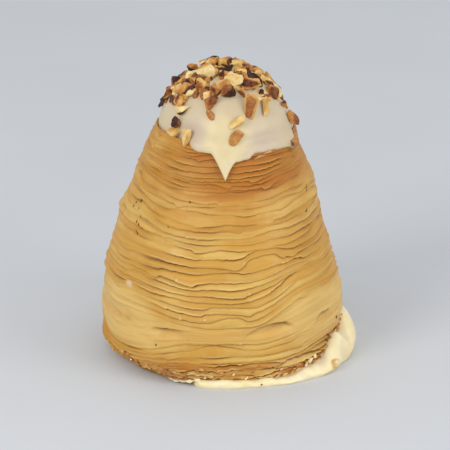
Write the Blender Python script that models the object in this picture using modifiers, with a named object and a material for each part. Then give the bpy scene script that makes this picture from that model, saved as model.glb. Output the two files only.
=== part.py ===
"""A bell-shaped sfogliatella, standing on its wide end.

Thin pastry layers are stacked like shingles into a bell. A dome of pale cream with a pointed drip covers the
narrow end and carries chopped nuts, and filling spreads out under the wide end at the front and the right.

The bell's axis is Z, its base stands on z = 0 and its front faces -Y. Sizes are in metres.
Azimuth is measured round Z from the front, positive towards +X, in degrees.
"""

import math
import random

import bmesh
import bpy
from mathutils import Matrix, Vector, noise

mm = 0.001

# Bell of layers
SKIRT_RADIUS = 37.8 * mm
SHOULDER_HEIGHT = 26.0 * mm
SHOULDER_SOFTNESS = 5.0 * mm
RIM_HEIGHT = 73.0 * mm
RIM_RADIUS = 21.6 * mm
SIDE_BULGE = 0.7 * mm
HEEL_HEIGHT = 7.0 * mm
HEEL_TUCK = 6.0 * mm
BELL_STEPS = 46
RIM_FLAT_EDGE = 1.6 * mm
RIM_ROUNDING = (0.3 * mm, 0.5 * mm)

# Layers, whose lower lips overlap the next one down
LAYER_SEED = 11
FOOT_PITCH = 1.45 * mm
WALL_PITCH = 2.0 * mm
PITCH_SPREAD = 0.35
WIDE_BAND_FROM = 14.6 * mm
WIDE_BAND_TO = 20.4 * mm
LIP_OUT = 0.3 * mm
GROOVE_IN = 0.4 * mm
GROOVE_DROP = 0.28 * mm
GAP_WANDER = 0.32
# Beside the front the wide band widens: lips above it rise, those below sink on the left, rise on the right
SIDE_RISE = 6.2 * mm
SIDE_RISE_TO = 44.0 * mm
LEFT_SHARE_OF_RISE = 0.25
LEFT_DROP = 4.6 * mm
RIGHT_LIFT = 3.4 * mm

# Irregular shape of the bell
FACET_HALF_ANGLE = 23.0
FACET_SHARE = 0.5
LEFT_SWELL = 0.4 * mm
RIGHT_DENT = 1.3 * mm
SWELL_HEIGHT = 40.0 * mm
SWELL_SPAN = 12.0 * mm
LUMP_DEPTH = 0.45 * mm
LUMP_LENGTH = 19.0 * mm
HEEL_EXTRA = 3.0 * mm
HEEL_EXTRA_HEIGHT = 8.0 * mm
HEEL_EXTRA_AZIMUTH = -50.0
HEEL_EXTRA_HALF_WIDTH = 40.0
RIM_SHIFT = 0.9 * mm
RIM_SHIFT_FROM = 66.0 * mm
RIM_RISE = 1.1 * mm

# Cream dome on the rim
CAP_SHIFT = 1.0 * mm
CAP_RADIUS = 20.9 * mm
CAP_RISE = 20.0 * mm
CAP_BASE = 72.0 * mm
CAP_UNDERSIDE = 71.2 * mm
CAP_EDGE = 0.8 * mm
CAP_LIP = 0.9 * mm
CAP_SUNK_IN_WALL = 1.0 * mm
CAP_BACK_HEIGHT = 70.8 * mm
CAP_ON_WALL = 0.2 * mm
CAP_INSIDE_RADIUS = 20.3 * mm
CAP_INSIDE_STEP = 0.5 * mm
CAP_SHIFT_TO = 78.0 * mm
CAP_STEPS = 56
CAP_RINGS = 9
DRIP_AZIMUTH = 2.0
DRIP_HALF_WIDTHS = (11.5, 8.5)
DRIP_LENGTH = 6.2 * mm
DRIP_THICKNESS = 0.9 * mm
# High up on the right the dome falls away: its share of the radius, and the rise over which that sets in
RIGHT_SLOPE = 0.14
RIGHT_SLOPE_RISE = (3.0 * mm, 14.0 * mm)
# The cream's lower edge where it laps the rim: azimuth and height
CAP_EDGE_HEIGHTS = (
    (-180, 71.4 * mm),
    (-130, 71.8 * mm),
    (-112, 72.2 * mm),
    (-42, 72.4 * mm),
    (-30, 72.2 * mm),
    (-18, 71.5 * mm),
    (-9, 71.1 * mm),
    (10, 68.8 * mm),
    (19, 69.1 * mm),
    (26, 70.7 * mm),
    (43, 70.8 * mm),
    (58, 70.1 * mm),
    (66, 69.0 * mm),
    (86, 71.4 * mm),
    (120, 71.5 * mm),
    (180, 71.4 * mm),
)

# Chopped nuts: right and rise of each in the front view from the dome's centre, its length, width and turn
VIEW_TILT = 18.6
NUTS_IN_FRONT = (
    (-21.0, 9.2, 3.0, 2.4, 20),
    (-19.0, 11.4, 3.2, 2.4, 20),
    (-16.6, 14.5, 3.8, 3.6, 70),
    (-13.6, 14.8, 6.2, 2.2, 55),
    (-11.2, 18.8, 3.4, 2.6, -15),
    (-10.9, 16.3, 3.8, 3.4, 20),
    (-6.1, 17.6, 6.0, 4.8, 15),
    (-5.4, 20.8, 3.2, 2.4, 60),
    (-3.6, 20.8, 5.4, 2.0, -25),
    (-1.0, 20.5, 3.0, 2.4, 0),
    (-11.7, 12.3, 5.0, 3.2, 15),
    (-14.2, 8.6, 3.6, 3.4, 60),
    (-10.5, 10.8, 3.6, 2.2, 30),
    (-7.7, 13.2, 4.8, 3.4, 80),
    (-13.6, 6.0, 5.0, 2.8, 5),
    (-15.4, 2.7, 3.4, 2.4, 60),
    (-15.7, 0.5, 3.2, 2.8, 40),
    (-4.6, 8.6, 4.8, 4.2, 80),
    (-4.6, 4.2, 4.2, 2.2, -65),
    (2.6, 22.4, 4.0, 3.2, 10),
    (2.9, 20.2, 4.8, 3.4, -30),
    (5.7, 19.7, 3.6, 3.0, -60),
    (0.4, 17.9, 5.0, 3.6, 15),
    (2.3, 15.1, 6.0, 5.2, 25),
    (0.7, 11.1, 5.0, 4.6, -50),
    (8.8, 15.4, 5.8, 2.2, -30),
    (7.5, 13.2, 6.0, 3.8, -20),
    (10.0, 17.0, 3.0, 2.4, 20),
    (14.6, 11.4, 4.8, 4.0, -40),
    (18.4, 11.1, 3.0, 2.2, -30),
    (7.8, 7.3, 7.2, 5.2, -70),
    (12.2, 6.7, 5.4, 2.4, 80),
    (3.5, 1.9, 5.4, 2.4, 50),
    (20.5, 3.3, 5.2, 3.6, -65),
    (-12.3, -2.6, 5.6, 2.6, 72),
    (2.9, -2.9, 4.6, 3.6, 55),
)
NUT_SEED = 5
BACK_NUTS = 26
BACK_NUT_LENGTH = (3.4, 6.2)
BACK_NUT_FALL = (8.0, 72.0)
NUT_THICKNESS_SHARE = 0.72
NUT_SUNK_SHARE = 0.12
FRONT_NUT_SUNK_SHARE = 0.2
FRONT_NUT_FACING = 0.55
FRONT_NUT_LEAST_SLOPE = 0.3
FRONT_NUT_MOST_OUT = 4.0 * mm
NUT_CHIP = 0.22
NUT_STACK_LIMIT = 1.6 * mm
NUT_CLEAR_OF_RIM = 0.6 * mm

# Filling that runs through under the bell and spreads at the foot
FILLING_RADIUS = 27.0 * mm
FILLING_HEIGHT = 2.4 * mm
FILLING_MIDDLE = 23.0 * mm
FILLING_FATTEST_SHARE = 0.25
FILLING_UNDERCUT = 0.15
FILLING_SUNK_IN_WALL = 1.2 * mm
FILLING_STEPS = 68
SPREAD_FROM = -11.0
SPREAD_TO = 134.0
SPREAD_FADE = 14.0
SPREAD_WAVE = 0.2 * mm
# How far the filling reaches from the axis where it has spread: azimuth and radius
SPREAD_REACHES = (
    (-40, 31.0 * mm),
    (-23, 33.0 * mm),
    (-13, 35.3 * mm),
    (-5, 36.7 * mm),
    (11, 36.8 * mm),
    (22, 37.8 * mm),
    (34, 38.8 * mm),
    (42, 39.9 * mm),
    (51, 41.5 * mm),
    (63, 41.6 * mm),
    (90, 42.2 * mm),
    (110, 41.5 * mm),
    (128, 39.0 * mm),
    (150, 36.0 * mm),
)
# How far the filling climbs the bell beyond its own height: where each step begins and ends, and its rise
CLIMB_STEPS = ((28.0, 50.0, 1.6 * mm), (48.0, 80.0, 5.0 * mm))

CLEARANCE = 0.3 * mm

PASTRY_COLOUR = (0.62, 0.36, 0.13, 1.0)
CREAM_COLOUR = (0.83, 0.74, 0.53, 1.0)
FILLING_COLOUR = (0.88, 0.78, 0.48, 1.0)


def smooth_share(value, start, end):
    """0 before start, 1 after end, and a smooth rise between."""
    share = min(1.0, max(0.0, (value - start) / (end - start)))
    return share * share * (3 - 2 * share)


def hump(azimuth, centre, half_width):
    """1 at the centre azimuth, falling smoothly to 0 at half_width on both sides."""
    away = abs((azimuth - centre + 180) % 360 - 180)
    if away >= half_width:
        return 0.0
    return 0.5 + 0.5 * math.cos(math.pi * away / half_width)


def between_stops(azimuth, stops):
    """A value that runs smoothly from one stop (azimuth, value) to the next."""
    azimuth = (azimuth + 180) % 360 - 180
    for (start, low), (end, high) in zip(stops, stops[1:]):
        if start <= azimuth <= end:
            return low + (high - low) * smooth_share(azimuth, start, end)
    return stops[0][1]


def azimuth_of(point):
    return math.degrees(math.atan2(point.x, -point.y))


def at_azimuth(radius, azimuth, z):
    turn = math.radians(azimuth)
    return Vector((radius * math.sin(turn), -radius * math.cos(turn), z))


def clear_scene():
    for obj in list(bpy.data.objects):
        bpy.data.objects.remove(obj)


def new_collection(name, shown=True):
    collection = bpy.data.collections.new(name)
    bpy.context.scene.collection.children.link(collection)
    collection.hide_render = not shown
    return collection


def new_object(name, mesh, collection):
    obj = bpy.data.objects.new(name, mesh)
    collection.objects.link(obj)
    return obj


def as_cutter(obj):
    obj.hide_render = True
    obj.display_type = "WIRE"


def apply_modifiers(obj):
    """Keeps the object's evaluated mesh as its own."""
    bpy.context.view_layer.update()
    evaluated = obj.evaluated_get(bpy.context.evaluated_depsgraph_get())
    mesh = bpy.data.meshes.new_from_object(evaluated)
    obj.modifiers.clear()
    old = obj.data
    obj.data = mesh
    bpy.data.meshes.remove(old)


def turn_profile(name, profile, steps, collection):
    """A closed solid from a profile of (radius, z) that runs down from the axis back to the axis."""
    mesh = bpy.data.meshes.new(name)
    points = [(radius, 0.0, z) for radius, z in profile]
    edges = [(i, i + 1) for i in range(len(points) - 1)]
    mesh.from_pydata(points, edges, [])
    obj = new_object(name, mesh, collection)
    screw = obj.modifiers.new("Turn", "SCREW")
    screw.steps = screw.render_steps = steps
    screw.use_merge_vertices = True
    screw.merge_threshold = 0.00001
    apply_modifiers(obj)
    return obj


def reshape(obj, rule):
    """Moves each vertex to where the rule puts it."""
    for vertex in obj.data.vertices:
        vertex.co = rule(vertex.co.copy())


def keep_largest_piece(obj):
    """Drops the scraps that a cut leaves beside the main body."""
    form = bmesh.new()
    form.from_mesh(obj.data)
    left = set(form.verts)
    pieces = []
    while left:
        piece, edge_of_search = set(), [left.pop()]
        while edge_of_search:
            vertex = edge_of_search.pop()
            piece.add(vertex)
            for edge in vertex.link_edges:
                other = edge.other_vert(vertex)
                if other in left:
                    left.discard(other)
                    edge_of_search.append(other)
        pieces.append(piece)
    pieces.sort(key=len)
    for piece in pieces[:-1]:
        bmesh.ops.delete(form, geom=list(piece), context="VERTS")
    form.to_mesh(obj.data)
    form.free()


def cut_clear_of(obj, neighbour, cutters):
    """Cuts the object back from its neighbour, leaving the clearance all round."""
    cutter = new_object(neighbour.name + "_room", neighbour.data.copy(), cutters)
    as_cutter(cutter)
    grow = cutter.modifiers.new("Clearance", "DISPLACE")
    grow.mid_level = 0.0
    grow.strength = CLEARANCE
    cut = obj.modifiers.new("Cut", "BOOLEAN")
    cut.operation = "DIFFERENCE"
    cut.object = cutter
    apply_modifiers(obj)
    keep_largest_piece(obj)


def add_material(obj, name, colour, roughness):
    material = bpy.data.materials.new(name)
    material.use_nodes = True
    shader = material.node_tree.nodes["Principled BSDF"]
    shader.inputs["Base Color"].default_value = colour
    shader.inputs["Roughness"].default_value = roughness
    shader.inputs["Metallic"].default_value = 0.0
    obj.data.materials.clear()
    obj.data.materials.append(material)


# Bell

def wall_radius(z):
    """Radius of the smooth wall: a tucked heel, an upright skirt and a slightly bulging cone above it."""
    above = z - SHOULDER_HEIGHT
    rise = (above + math.sqrt(above * above + SHOULDER_SOFTNESS ** 2)) / 2
    slope = (SKIRT_RADIUS - RIM_RADIUS) / (RIM_HEIGHT - SHOULDER_HEIGHT)
    share = min(1.0, max(0.0, above / (RIM_HEIGHT - SHOULDER_HEIGHT)))
    radius = SKIRT_RADIUS - slope * rise + SIDE_BULGE * math.sin(math.pi * share ** 1.5)
    if z < HEEL_HEIGHT:
        depth = 1 - z / HEEL_HEIGHT
        radius -= HEEL_TUCK * (1 - math.sqrt(max(0.0, 1 - depth * depth)))
    return radius


def rim_shift(azimuth, z):
    """How far the top of the wall leans out on the right and in on the left."""
    return RIM_SHIFT * math.sin(math.radians(azimuth)) * smooth_share(z, RIM_SHIFT_FROM, RIM_HEIGHT)


def rim_lift(azimuth, z):
    """How much higher the rim stands on the left, where it holds the cream in."""
    left = smooth_share(azimuth, -125, -95) * (1 - smooth_share(azimuth, -48, -27))
    return RIM_RISE * left * smooth_share(z, RIM_SHIFT_FROM, RIM_HEIGHT)


def layer_lips():
    """Heights of the layers' lower lips, from the foot up: close at the foot, one wide band, then even."""
    draw = random.Random(LAYER_SEED)
    lips = []
    z = FOOT_PITCH
    while z < RIM_HEIGHT - WALL_PITCH * 0.5:
        lips.append(z)
        pitch = FOOT_PITCH if z < WIDE_BAND_FROM else WALL_PITCH
        z += pitch * (1 + PITCH_SPREAD * draw.uniform(-1, 1))
        if WIDE_BAND_FROM < z < WIDE_BAND_TO:
            lips.append(WIDE_BAND_FROM)
            z = WIDE_BAND_TO
    return lips


def wandering_heights(lips, azimuth):
    """Where each lip lies at this azimuth: gaps widen and close, and the stack parts beside the front."""
    turn = math.radians(azimuth)
    stops = [0.0, *lips, RIM_HEIGHT]
    heights = [0.0]
    for i in range(1, len(stops)):
        place = Vector((1.6 * math.sin(turn), 1.6 * math.cos(turn), 3.7 * i))
        widen = 1 + GAP_WANDER * max(-1.0, min(1.0, 1.7 * noise.noise(place)))
        heights.append(heights[-1] + (stops[i] - stops[i - 1]) * widen)
    heights = [h * RIM_HEIGHT / heights[-1] for h in heights]
    away = abs(azimuth)
    beside = smooth_share(away, 12, 46) * (1 - smooth_share(away, 78, 118))
    beside *= 1.0 if azimuth > 0 else LEFT_SHARE_OF_RISE
    sag = smooth_share(-azimuth, 16, 50) * (1 - smooth_share(-azimuth, 58, 80))
    lift = smooth_share(azimuth, 14, 66) * (1 - smooth_share(azimuth, 80, 125))
    for i, even in enumerate(stops):
        if even >= WIDE_BAND_TO:
            heights[i] += SIDE_RISE * beside * (1 - smooth_share(even, WIDE_BAND_TO, SIDE_RISE_TO))
        else:
            heights[i] += (RIGHT_LIFT * lift - LEFT_DROP * sag) * min(1.0, even / WIDE_BAND_FROM) ** 0.8
    return stops, heights


def settled(z, stops, heights):
    """The height that a point of the even stack has in the wandering one."""
    if z >= stops[-1]:
        return z
    i = max(k for k in range(len(stops) - 1) if stops[k] <= z)
    share = (z - stops[i]) / (stops[i + 1] - stops[i])
    return heights[i] + share * (heights[i + 1] - heights[i])


def uneven_radius(radius, azimuth, z):
    """Flattens the front, swells the left side, dents the right one, leans the rim and adds low lumps."""
    away = abs(azimuth)
    if away < FACET_HALF_ANGLE:
        chord = math.cos(math.radians(FACET_HALF_ANGLE)) / math.cos(math.radians(away))
        radius *= 1 - FACET_SHARE * (1 - chord)
    side = math.sin(math.radians(azimuth))
    bell_curve = math.exp(-(((z - SWELL_HEIGHT) / SWELL_SPAN) ** 2))
    radius += (LEFT_SWELL if side < 0 else -RIGHT_DENT) * side * side * bell_curve
    radius += rim_shift(azimuth, z)
    tuck = max(0.0, 1 - z / HEEL_EXTRA_HEIGHT) ** 1.2
    radius -= HEEL_EXTRA * tuck * hump(azimuth, HEEL_EXTRA_AZIMUTH, HEEL_EXTRA_HALF_WIDTH)
    place = at_azimuth(radius, azimuth, z) / LUMP_LENGTH
    return radius + LUMP_DEPTH * noise.noise(place)


def bell_profile(lips):
    profile = [(0.0, RIM_HEIGHT), (RIM_RADIUS - RIM_FLAT_EDGE, RIM_HEIGHT)]
    profile.append((RIM_RADIUS - RIM_ROUNDING[0], RIM_HEIGHT - RIM_ROUNDING[1]))
    for z in reversed(lips):
        profile.append((wall_radius(z) + LIP_OUT, z))
        profile.append((wall_radius(z) - GROOVE_IN, z - GROOVE_DROP))
    profile += [(wall_radius(0.0), 0.0), (FILLING_RADIUS - 1.5 * mm, 0.0), (0.0, 0.0)]
    return profile


def build_bell(collection):
    lips = layer_lips()
    bell = turn_profile("pastry_bell", bell_profile(lips), BELL_STEPS, collection)
    stacks = {}

    def rule(point):
        radius = math.hypot(point.x, point.y)
        if radius < FILLING_RADIUS and point.z < mm:
            return point
        azimuth = azimuth_of(point)
        key = round(azimuth, 2)
        if key not in stacks:
            stacks[key] = wandering_heights(lips, azimuth)
        z = settled(point.z, *stacks[key])
        radius += wall_radius(z) - wall_radius(point.z)
        if radius > RIM_RADIUS / 2:
            radius = uneven_radius(radius, azimuth, z)
            z += rim_lift(azimuth, z)
        return at_azimuth(radius, azimuth, z)

    reshape(bell, rule)
    return bell


# Cream dome

def drip_shape(azimuth):
    """1 at the drip's tip, falling to 0 at its sides along curves that bend inwards."""
    away = azimuth - DRIP_AZIMUTH
    away = abs(away) / DRIP_HALF_WIDTHS[away > 0]
    return (1 - away) ** 1.5 if away < 1 else 0.0


def cap_edge_height(azimuth):
    """Height of the cream's lower edge, drip included."""
    return between_stops(azimuth, CAP_EDGE_HEIGHTS) - DRIP_LENGTH * drip_shape(azimuth)


def inside_rim(azimuth):
    """1 on the left and the right, where the cream ends inside the rim, and 0 where it laps over the rim."""
    left = smooth_share(azimuth, -128, -112) * (1 - smooth_share(azimuth, -38, -25))
    right = smooth_share(azimuth, 66, 84) * (1 - smooth_share(azimuth, 112, 128))
    return left + right


def right_slope(azimuth, rise):
    """The dome's radius shrinks by this factor high up on the right."""
    right = max(0.0, math.sin(math.radians(azimuth)))
    return 1 - RIGHT_SLOPE * right * smooth_share(rise, *RIGHT_SLOPE_RISE)


def cap_profile():
    profile = []
    for ring in range(CAP_RINGS + 1):
        fall = math.pi / 2 * ring / CAP_RINGS
        profile.append((CAP_RADIUS * math.sin(fall), CAP_BASE + CAP_RISE * math.cos(fall)))
    profile += [
        (CAP_RADIUS + CAP_EDGE, CAP_BASE - CAP_LIP),
        (CAP_RADIUS + CAP_EDGE / 2, CAP_BASE - 2 * CAP_LIP),
        (wall_radius(CAP_BACK_HEIGHT) - CAP_SUNK_IN_WALL, CAP_BACK_HEIGHT),
        (CAP_RADIUS - 3 * CAP_LIP, CAP_UNDERSIDE),
        (0.0, CAP_UNDERSIDE),
    ]
    return profile


def build_cap_cream(collection):
    """The dome, whose lowest outer rings hang down over the wall, or stay inside the rim at the sides."""
    cream = turn_profile("cream_cap", cap_profile(), CAP_STEPS, collection)
    lip_place = round(CAP_BASE - CAP_LIP, 6)
    edge_place = round(CAP_BASE - 2 * CAP_LIP, 6)
    back_place = round(CAP_BACK_HEIGHT, 6)
    last_of_dome = round(CAP_BASE, 6)

    def rule(point):
        radius, azimuth = math.hypot(point.x, point.y), azimuth_of(point) + DRIP_AZIMUTH
        azimuth = (azimuth + 180) % 360 - 180
        edge = cap_edge_height(azimuth)
        inside = inside_rim(azimuth)
        place = round(point.z, 6)
        z = point.z
        thick = DRIP_THICKNESS * drip_shape(azimuth)
        steps_up = 0
        if place == edge_place:
            z = edge
            radius = wall_radius(z) + rim_shift(azimuth, z) + CAP_ON_WALL
            steps_up = 2
        elif place == lip_place:
            z = edge + CAP_LIP
            radius = wall_radius(z) + rim_shift(azimuth, z) + CAP_EDGE + thick / 2
            steps_up = 3
        elif place == last_of_dome and radius > CAP_RADIUS / 2:
            z = max(edge + 2 * CAP_LIP, CAP_BASE - DRIP_LENGTH / 2)
            radius = max(radius, wall_radius(z) + rim_shift(azimuth, z) + CAP_EDGE / 2) + thick
            steps_up = 4
        elif place == back_place:
            steps_up = 1
        else:
            radius *= right_slope(azimuth, z - CAP_BASE)
        if steps_up:
            radius += (CAP_INSIDE_RADIUS - radius) * inside
            z += (CAP_UNDERSIDE + steps_up * CAP_INSIDE_STEP - z) * inside
        moved = at_azimuth(radius, azimuth, z)
        share = smooth_share(z, CAP_BASE - 2 * CAP_LIP, CAP_SHIFT_TO)
        moved.x += CAP_SHIFT * (share + (1 - share) * inside)
        return moved

    reshape(cream, rule)
    return cream


# Chopped nuts

def seen_on_dome(right, rise):
    """The point of the even dome that the front view shows this far right of and above its centre.

    A place above the dome's outline lies on nuts below it, and is raised over it by up to the limit.
    """
    tilt = math.radians(VIEW_TILT)
    up = Vector((0.0, math.sin(tilt), math.cos(tilt)))
    viewer = Vector((0.0, -math.cos(tilt), math.sin(tilt)))
    sizes = Vector((CAP_RADIUS, CAP_RADIUS, CAP_RISE))

    def squeezed(v):
        return Vector(a / b for a, b in zip(v, sizes))

    for shrink in range(100):
        keep = 1 - 0.01 * shrink
        start = squeezed(Vector((right, 0.0, 0.0)) * keep + up * rise * keep)
        towards = squeezed(viewer)
        a, b, c = towards.dot(towards), 2 * start.dot(towards), start.dot(start) - 1
        inside = b * b - 4 * a * c
        if inside >= 0:
            break
    distance = (-b + math.sqrt(inside)) / (2 * a)
    flat = start + towards * distance
    raised = min(NUT_STACK_LIMIT, rise * (1 - keep))
    return Vector(s * v for s, v in zip(sizes, flat)) + up * raised


def on_right_slope(point):
    """The even dome's point, moved in where the dome falls away, and by how much."""
    share = right_slope(azimuth_of(point), point.z)
    return Vector((point.x * share, point.y * share, point.z)), share


def nut_chunk(draw, centre, outward, along, size):
    """A chipped chunk: a low ball of 20 faces with each corner pushed in or out."""
    form = bmesh.new()
    bmesh.ops.create_icosphere(form, subdivisions=1, radius=0.5)
    side = outward.cross(along).normalized()
    axes = Matrix((along, side, outward)).transposed()
    for vertex in form.verts:
        chip = 1 + NUT_CHIP * draw.uniform(-1, 1)
        vertex.co = axes @ Vector(c * s * chip for c, s in zip(vertex.co, size)) + centre
    mesh = bpy.data.meshes.new("nut")
    form.to_mesh(mesh)
    form.free()
    return mesh


def nut_places(draw):
    """Each nut's point on the dome, its length, width and turn, and how far it faces the viewer."""
    places = []
    for right, rise, length, width, turn in NUTS_IN_FRONT:
        share = 1.0
        for _ in range(4):
            point, share = on_right_slope(seen_on_dome(right * mm / share, rise * mm))
        places.append((point, length * mm, width * mm, turn, FRONT_NUT_FACING))
    for i in range(BACK_NUTS):
        share = (i + 0.5) / BACK_NUTS
        fall = math.radians(BACK_NUT_FALL[0] + (BACK_NUT_FALL[1] - BACK_NUT_FALL[0]) * share ** 1.15)
        azimuth = 180 + 95 * math.sin(i * 2.4) + draw.uniform(-8, 8)
        point, _ = on_right_slope(at_azimuth(CAP_RADIUS * math.sin(fall), azimuth, CAP_RISE * math.cos(fall)))
        length = draw.uniform(*BACK_NUT_LENGTH) * mm
        places.append((point, length, length * draw.uniform(0.55, 0.85), draw.uniform(0, 180), 0.0))
    return places


def build_nuts(collection):
    draw = random.Random(NUT_SEED)
    tilt = math.radians(VIEW_TILT)
    tilt_up = Vector((0.0, math.sin(tilt), math.cos(tilt)))
    viewer = Vector((0.0, -math.cos(tilt), math.sin(tilt)))
    for number, (point, length, width, turn, facing) in enumerate(nut_places(draw)):
        outward = Vector((point.x, point.y, point.z * (CAP_RADIUS / CAP_RISE) ** 2)).normalized()
        thickness = NUT_THICKNESS_SHARE * width
        centre = point + Vector((CAP_SHIFT, 0.0, CAP_BASE))
        if facing:
            slope = outward.dot(viewer)
            out = thickness * (0.5 - FRONT_NUT_SUNK_SHARE) / max(slope, FRONT_NUT_LEAST_SLOPE)
            centre += viewer * min(out, FRONT_NUT_MOST_OUT)
        else:
            centre += outward * thickness * (0.5 - NUT_SUNK_SHARE)
        outward = (outward * (1 - facing) + viewer * facing).normalized()
        seen = Vector((math.cos(math.radians(turn)), 0.0, 0.0)) + tilt_up * math.sin(math.radians(turn))
        along = (seen - outward * seen.dot(outward)).normalized()
        mesh = nut_chunk(draw, centre, outward, along, (length, width, thickness))
        lowest = min(vertex.co.z for vertex in mesh.vertices)
        rim_here = RIM_HEIGHT + rim_lift(azimuth_of(centre), RIM_HEIGHT)
        mesh.transform(Matrix.Translation((0, 0, max(0.0, rim_here + NUT_CLEAR_OF_RIM - lowest))))
        new_object(f"nut_{number:02d}", mesh, collection)


def fuse(obj, collection):
    """Joins every object of the collection to the object by one union, then removes them."""
    union = obj.modifiers.new("Fuse", "BOOLEAN")
    union.operation = "UNION"
    union.operand_type = "COLLECTION"
    union.collection = collection
    apply_modifiers(obj)
    for helper in list(collection.objects):
        bpy.data.objects.remove(helper)
    bpy.data.collections.remove(collection)
    keep_largest_piece(obj)


# Filling at the foot

def spread_share(azimuth):
    """1 where the filling has spread out from under the bell, 0 where it stays inside."""
    return smooth_share(azimuth, SPREAD_FROM - SPREAD_FADE, SPREAD_FROM) * (
        1 - smooth_share(azimuth, SPREAD_TO, SPREAD_TO + SPREAD_FADE)
    )


def spread_radius(azimuth):
    reach = between_stops(azimuth, SPREAD_REACHES) + SPREAD_WAVE * math.sin(math.radians(9 * azimuth + 70))
    return FILLING_RADIUS + (reach - FILLING_RADIUS) * spread_share(azimuth)


def spread_height(azimuth):
    climb = sum(rise * smooth_share(azimuth, start, end) for start, end, rise in CLIMB_STEPS)
    return FILLING_HEIGHT + climb * (1 - smooth_share(azimuth, SPREAD_TO - 2 * SPREAD_FADE, SPREAD_TO))


def build_filling(collection):
    """A low disc under the bell, drawn out and up where it has spread."""
    side = (1.0, 0.8, 0.55, 0.3, 0.0)
    profile = [(0.0, FILLING_HEIGHT), (FILLING_MIDDLE, FILLING_HEIGHT)]
    for share in side:
        profile.append((FILLING_RADIUS - abs(share - FILLING_FATTEST_SHARE) * mm, FILLING_HEIGHT * share))
    profile += [(FILLING_MIDDLE, 0.0), (0.0, 0.0)]
    filling = turn_profile("filling", profile, FILLING_STEPS, collection)

    def rule(point):
        radius, azimuth = math.hypot(point.x, point.y), azimuth_of(point)
        if radius < (FILLING_MIDDLE + FILLING_RADIUS) / 2:
            return point
        share = point.z / FILLING_HEIGHT
        z = share * spread_height(azimuth)
        inner = min(wall_radius(z) - FILLING_SUNK_IN_WALL, spread_radius(azimuth))
        above_fattest = max(0.0, share - FILLING_FATTEST_SHARE) / (1 - FILLING_FATTEST_SHARE)
        bulge = math.sqrt(max(0.0, 1 - above_fattest ** 2))
        if share < FILLING_FATTEST_SHARE:
            bulge -= FILLING_UNDERCUT
        outer = inner + (spread_radius(azimuth) - inner) * bulge
        return at_azimuth(radius + (outer - radius) * spread_share(azimuth), azimuth, z)

    reshape(filling, rule)
    return filling


def main():
    clear_scene()
    shown = new_collection("sfogliatella")
    cutters = new_collection("cutters", shown=False)
    nuts = new_collection("nuts_to_fuse", shown=False)

    bell = build_bell(shown)
    cap = build_cap_cream(shown)
    filling = build_filling(shown)
    cut_clear_of(bell, cap, cutters)
    cut_clear_of(bell, filling, cutters)
    build_nuts(nuts)
    fuse(cap, nuts)

    add_material(bell, "baked_layers", PASTRY_COLOUR, 0.6)
    add_material(cap, "cap_cream", CREAM_COLOUR, 0.4)
    add_material(filling, "filling_cream", FILLING_COLOUR, 0.45)


main()
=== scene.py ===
import math
import random

import bmesh
import bpy
import numpy as np
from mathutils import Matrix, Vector, noise


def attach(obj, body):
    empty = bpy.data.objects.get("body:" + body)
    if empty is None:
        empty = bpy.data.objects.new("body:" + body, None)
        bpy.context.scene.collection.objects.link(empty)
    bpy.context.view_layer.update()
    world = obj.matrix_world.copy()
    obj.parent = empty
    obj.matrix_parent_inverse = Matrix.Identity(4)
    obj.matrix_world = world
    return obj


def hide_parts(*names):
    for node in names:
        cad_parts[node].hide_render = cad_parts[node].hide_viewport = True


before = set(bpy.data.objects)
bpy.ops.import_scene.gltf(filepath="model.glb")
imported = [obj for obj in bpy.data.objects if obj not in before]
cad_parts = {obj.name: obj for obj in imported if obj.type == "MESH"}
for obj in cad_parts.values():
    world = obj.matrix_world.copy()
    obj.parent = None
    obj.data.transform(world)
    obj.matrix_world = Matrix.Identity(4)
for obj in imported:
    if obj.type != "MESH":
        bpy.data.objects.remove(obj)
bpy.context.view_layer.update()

# A bell-shaped sfogliatella: flaky layers, a cream cap with chopped nuts, and filling spread at the foot.
# Azimuth is counted round Z from the front, positive towards +X, in degrees. Lengths are in metres,
# except where a note says mm.
mm = 0.001
up = Vector((0.0, 0.0, 1.0))

bell = {
    "skirtRadius": 37.8 * mm,
    "shoulderHeight": 26.0 * mm,
    "shoulderSoftness": 5.0 * mm,
    "rimHeight": 73.0 * mm,
    "rimRadius": 21.6 * mm,
    "sideBulge": 0.7 * mm,
    "heelHeight": 7.0 * mm,
    "heelTuck": 6.0 * mm,
    "facetHalfAngle": 28.0,
    "facetDepth": 0.0397,
    "leftSwell": 0.4 * mm,
    "rightDent": 1.3 * mm,
    "swellHeight": 40.0 * mm,
    "swellSpan": 12.0 * mm,
    "lumpDepth": 0.45 * mm,
    "lumpLength": 19.0 * mm,
    "rimShift": 0.9 * mm,
    "rimShiftFrom": 66.0 * mm,
    "rimRise": 1.1 * mm,
    "rimRiseSpan": (-125, -95, -48, -27),
    "heelExtra": 3.0 * mm,
    "heelExtraHeight": 8.0 * mm,
    "heelExtraAzimuth": -50.0,
    "heelExtraHalfWidth": 40.0,
}


def smoothShare(value, start, end):
    # A smooth step from 0 at the start to 1 at the end.
    share = np.clip((value - start) / (end - start), 0.0, 1.0)
    return share * share * (3 - 2 * share)


def plateau(value, start, full, past, end):
    # 1 between full and past, with a smooth step down to 0 at the start and at the end.
    return smoothShare(value, start, full) * (1 - smoothShare(value, past, end))


def turnFrom(azimuth, centre):
    # Degrees round from the centre, between -180 and 180.
    return (azimuth - centre + 180) % 360 - 180


def hump(azimuth, centre, halfWidth):
    away = np.abs(turnFrom(azimuth, centre))
    return np.where(away < halfWidth, 0.5 + 0.5 * np.cos(np.pi * away / halfWidth), 0.0)


def smoothTable(azimuth, table, outside=0.0):
    # Steps smoothly from each (azimuth, value) of the table to the next.
    result = np.full_like(azimuth, outside)
    for (start, low), (end, high) in zip(table, table[1:]):
        here = (azimuth >= start) & (azimuth <= end)
        result = np.where(here, low + (high - low) * smoothShare(azimuth, start, end), result)
    return result


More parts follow.
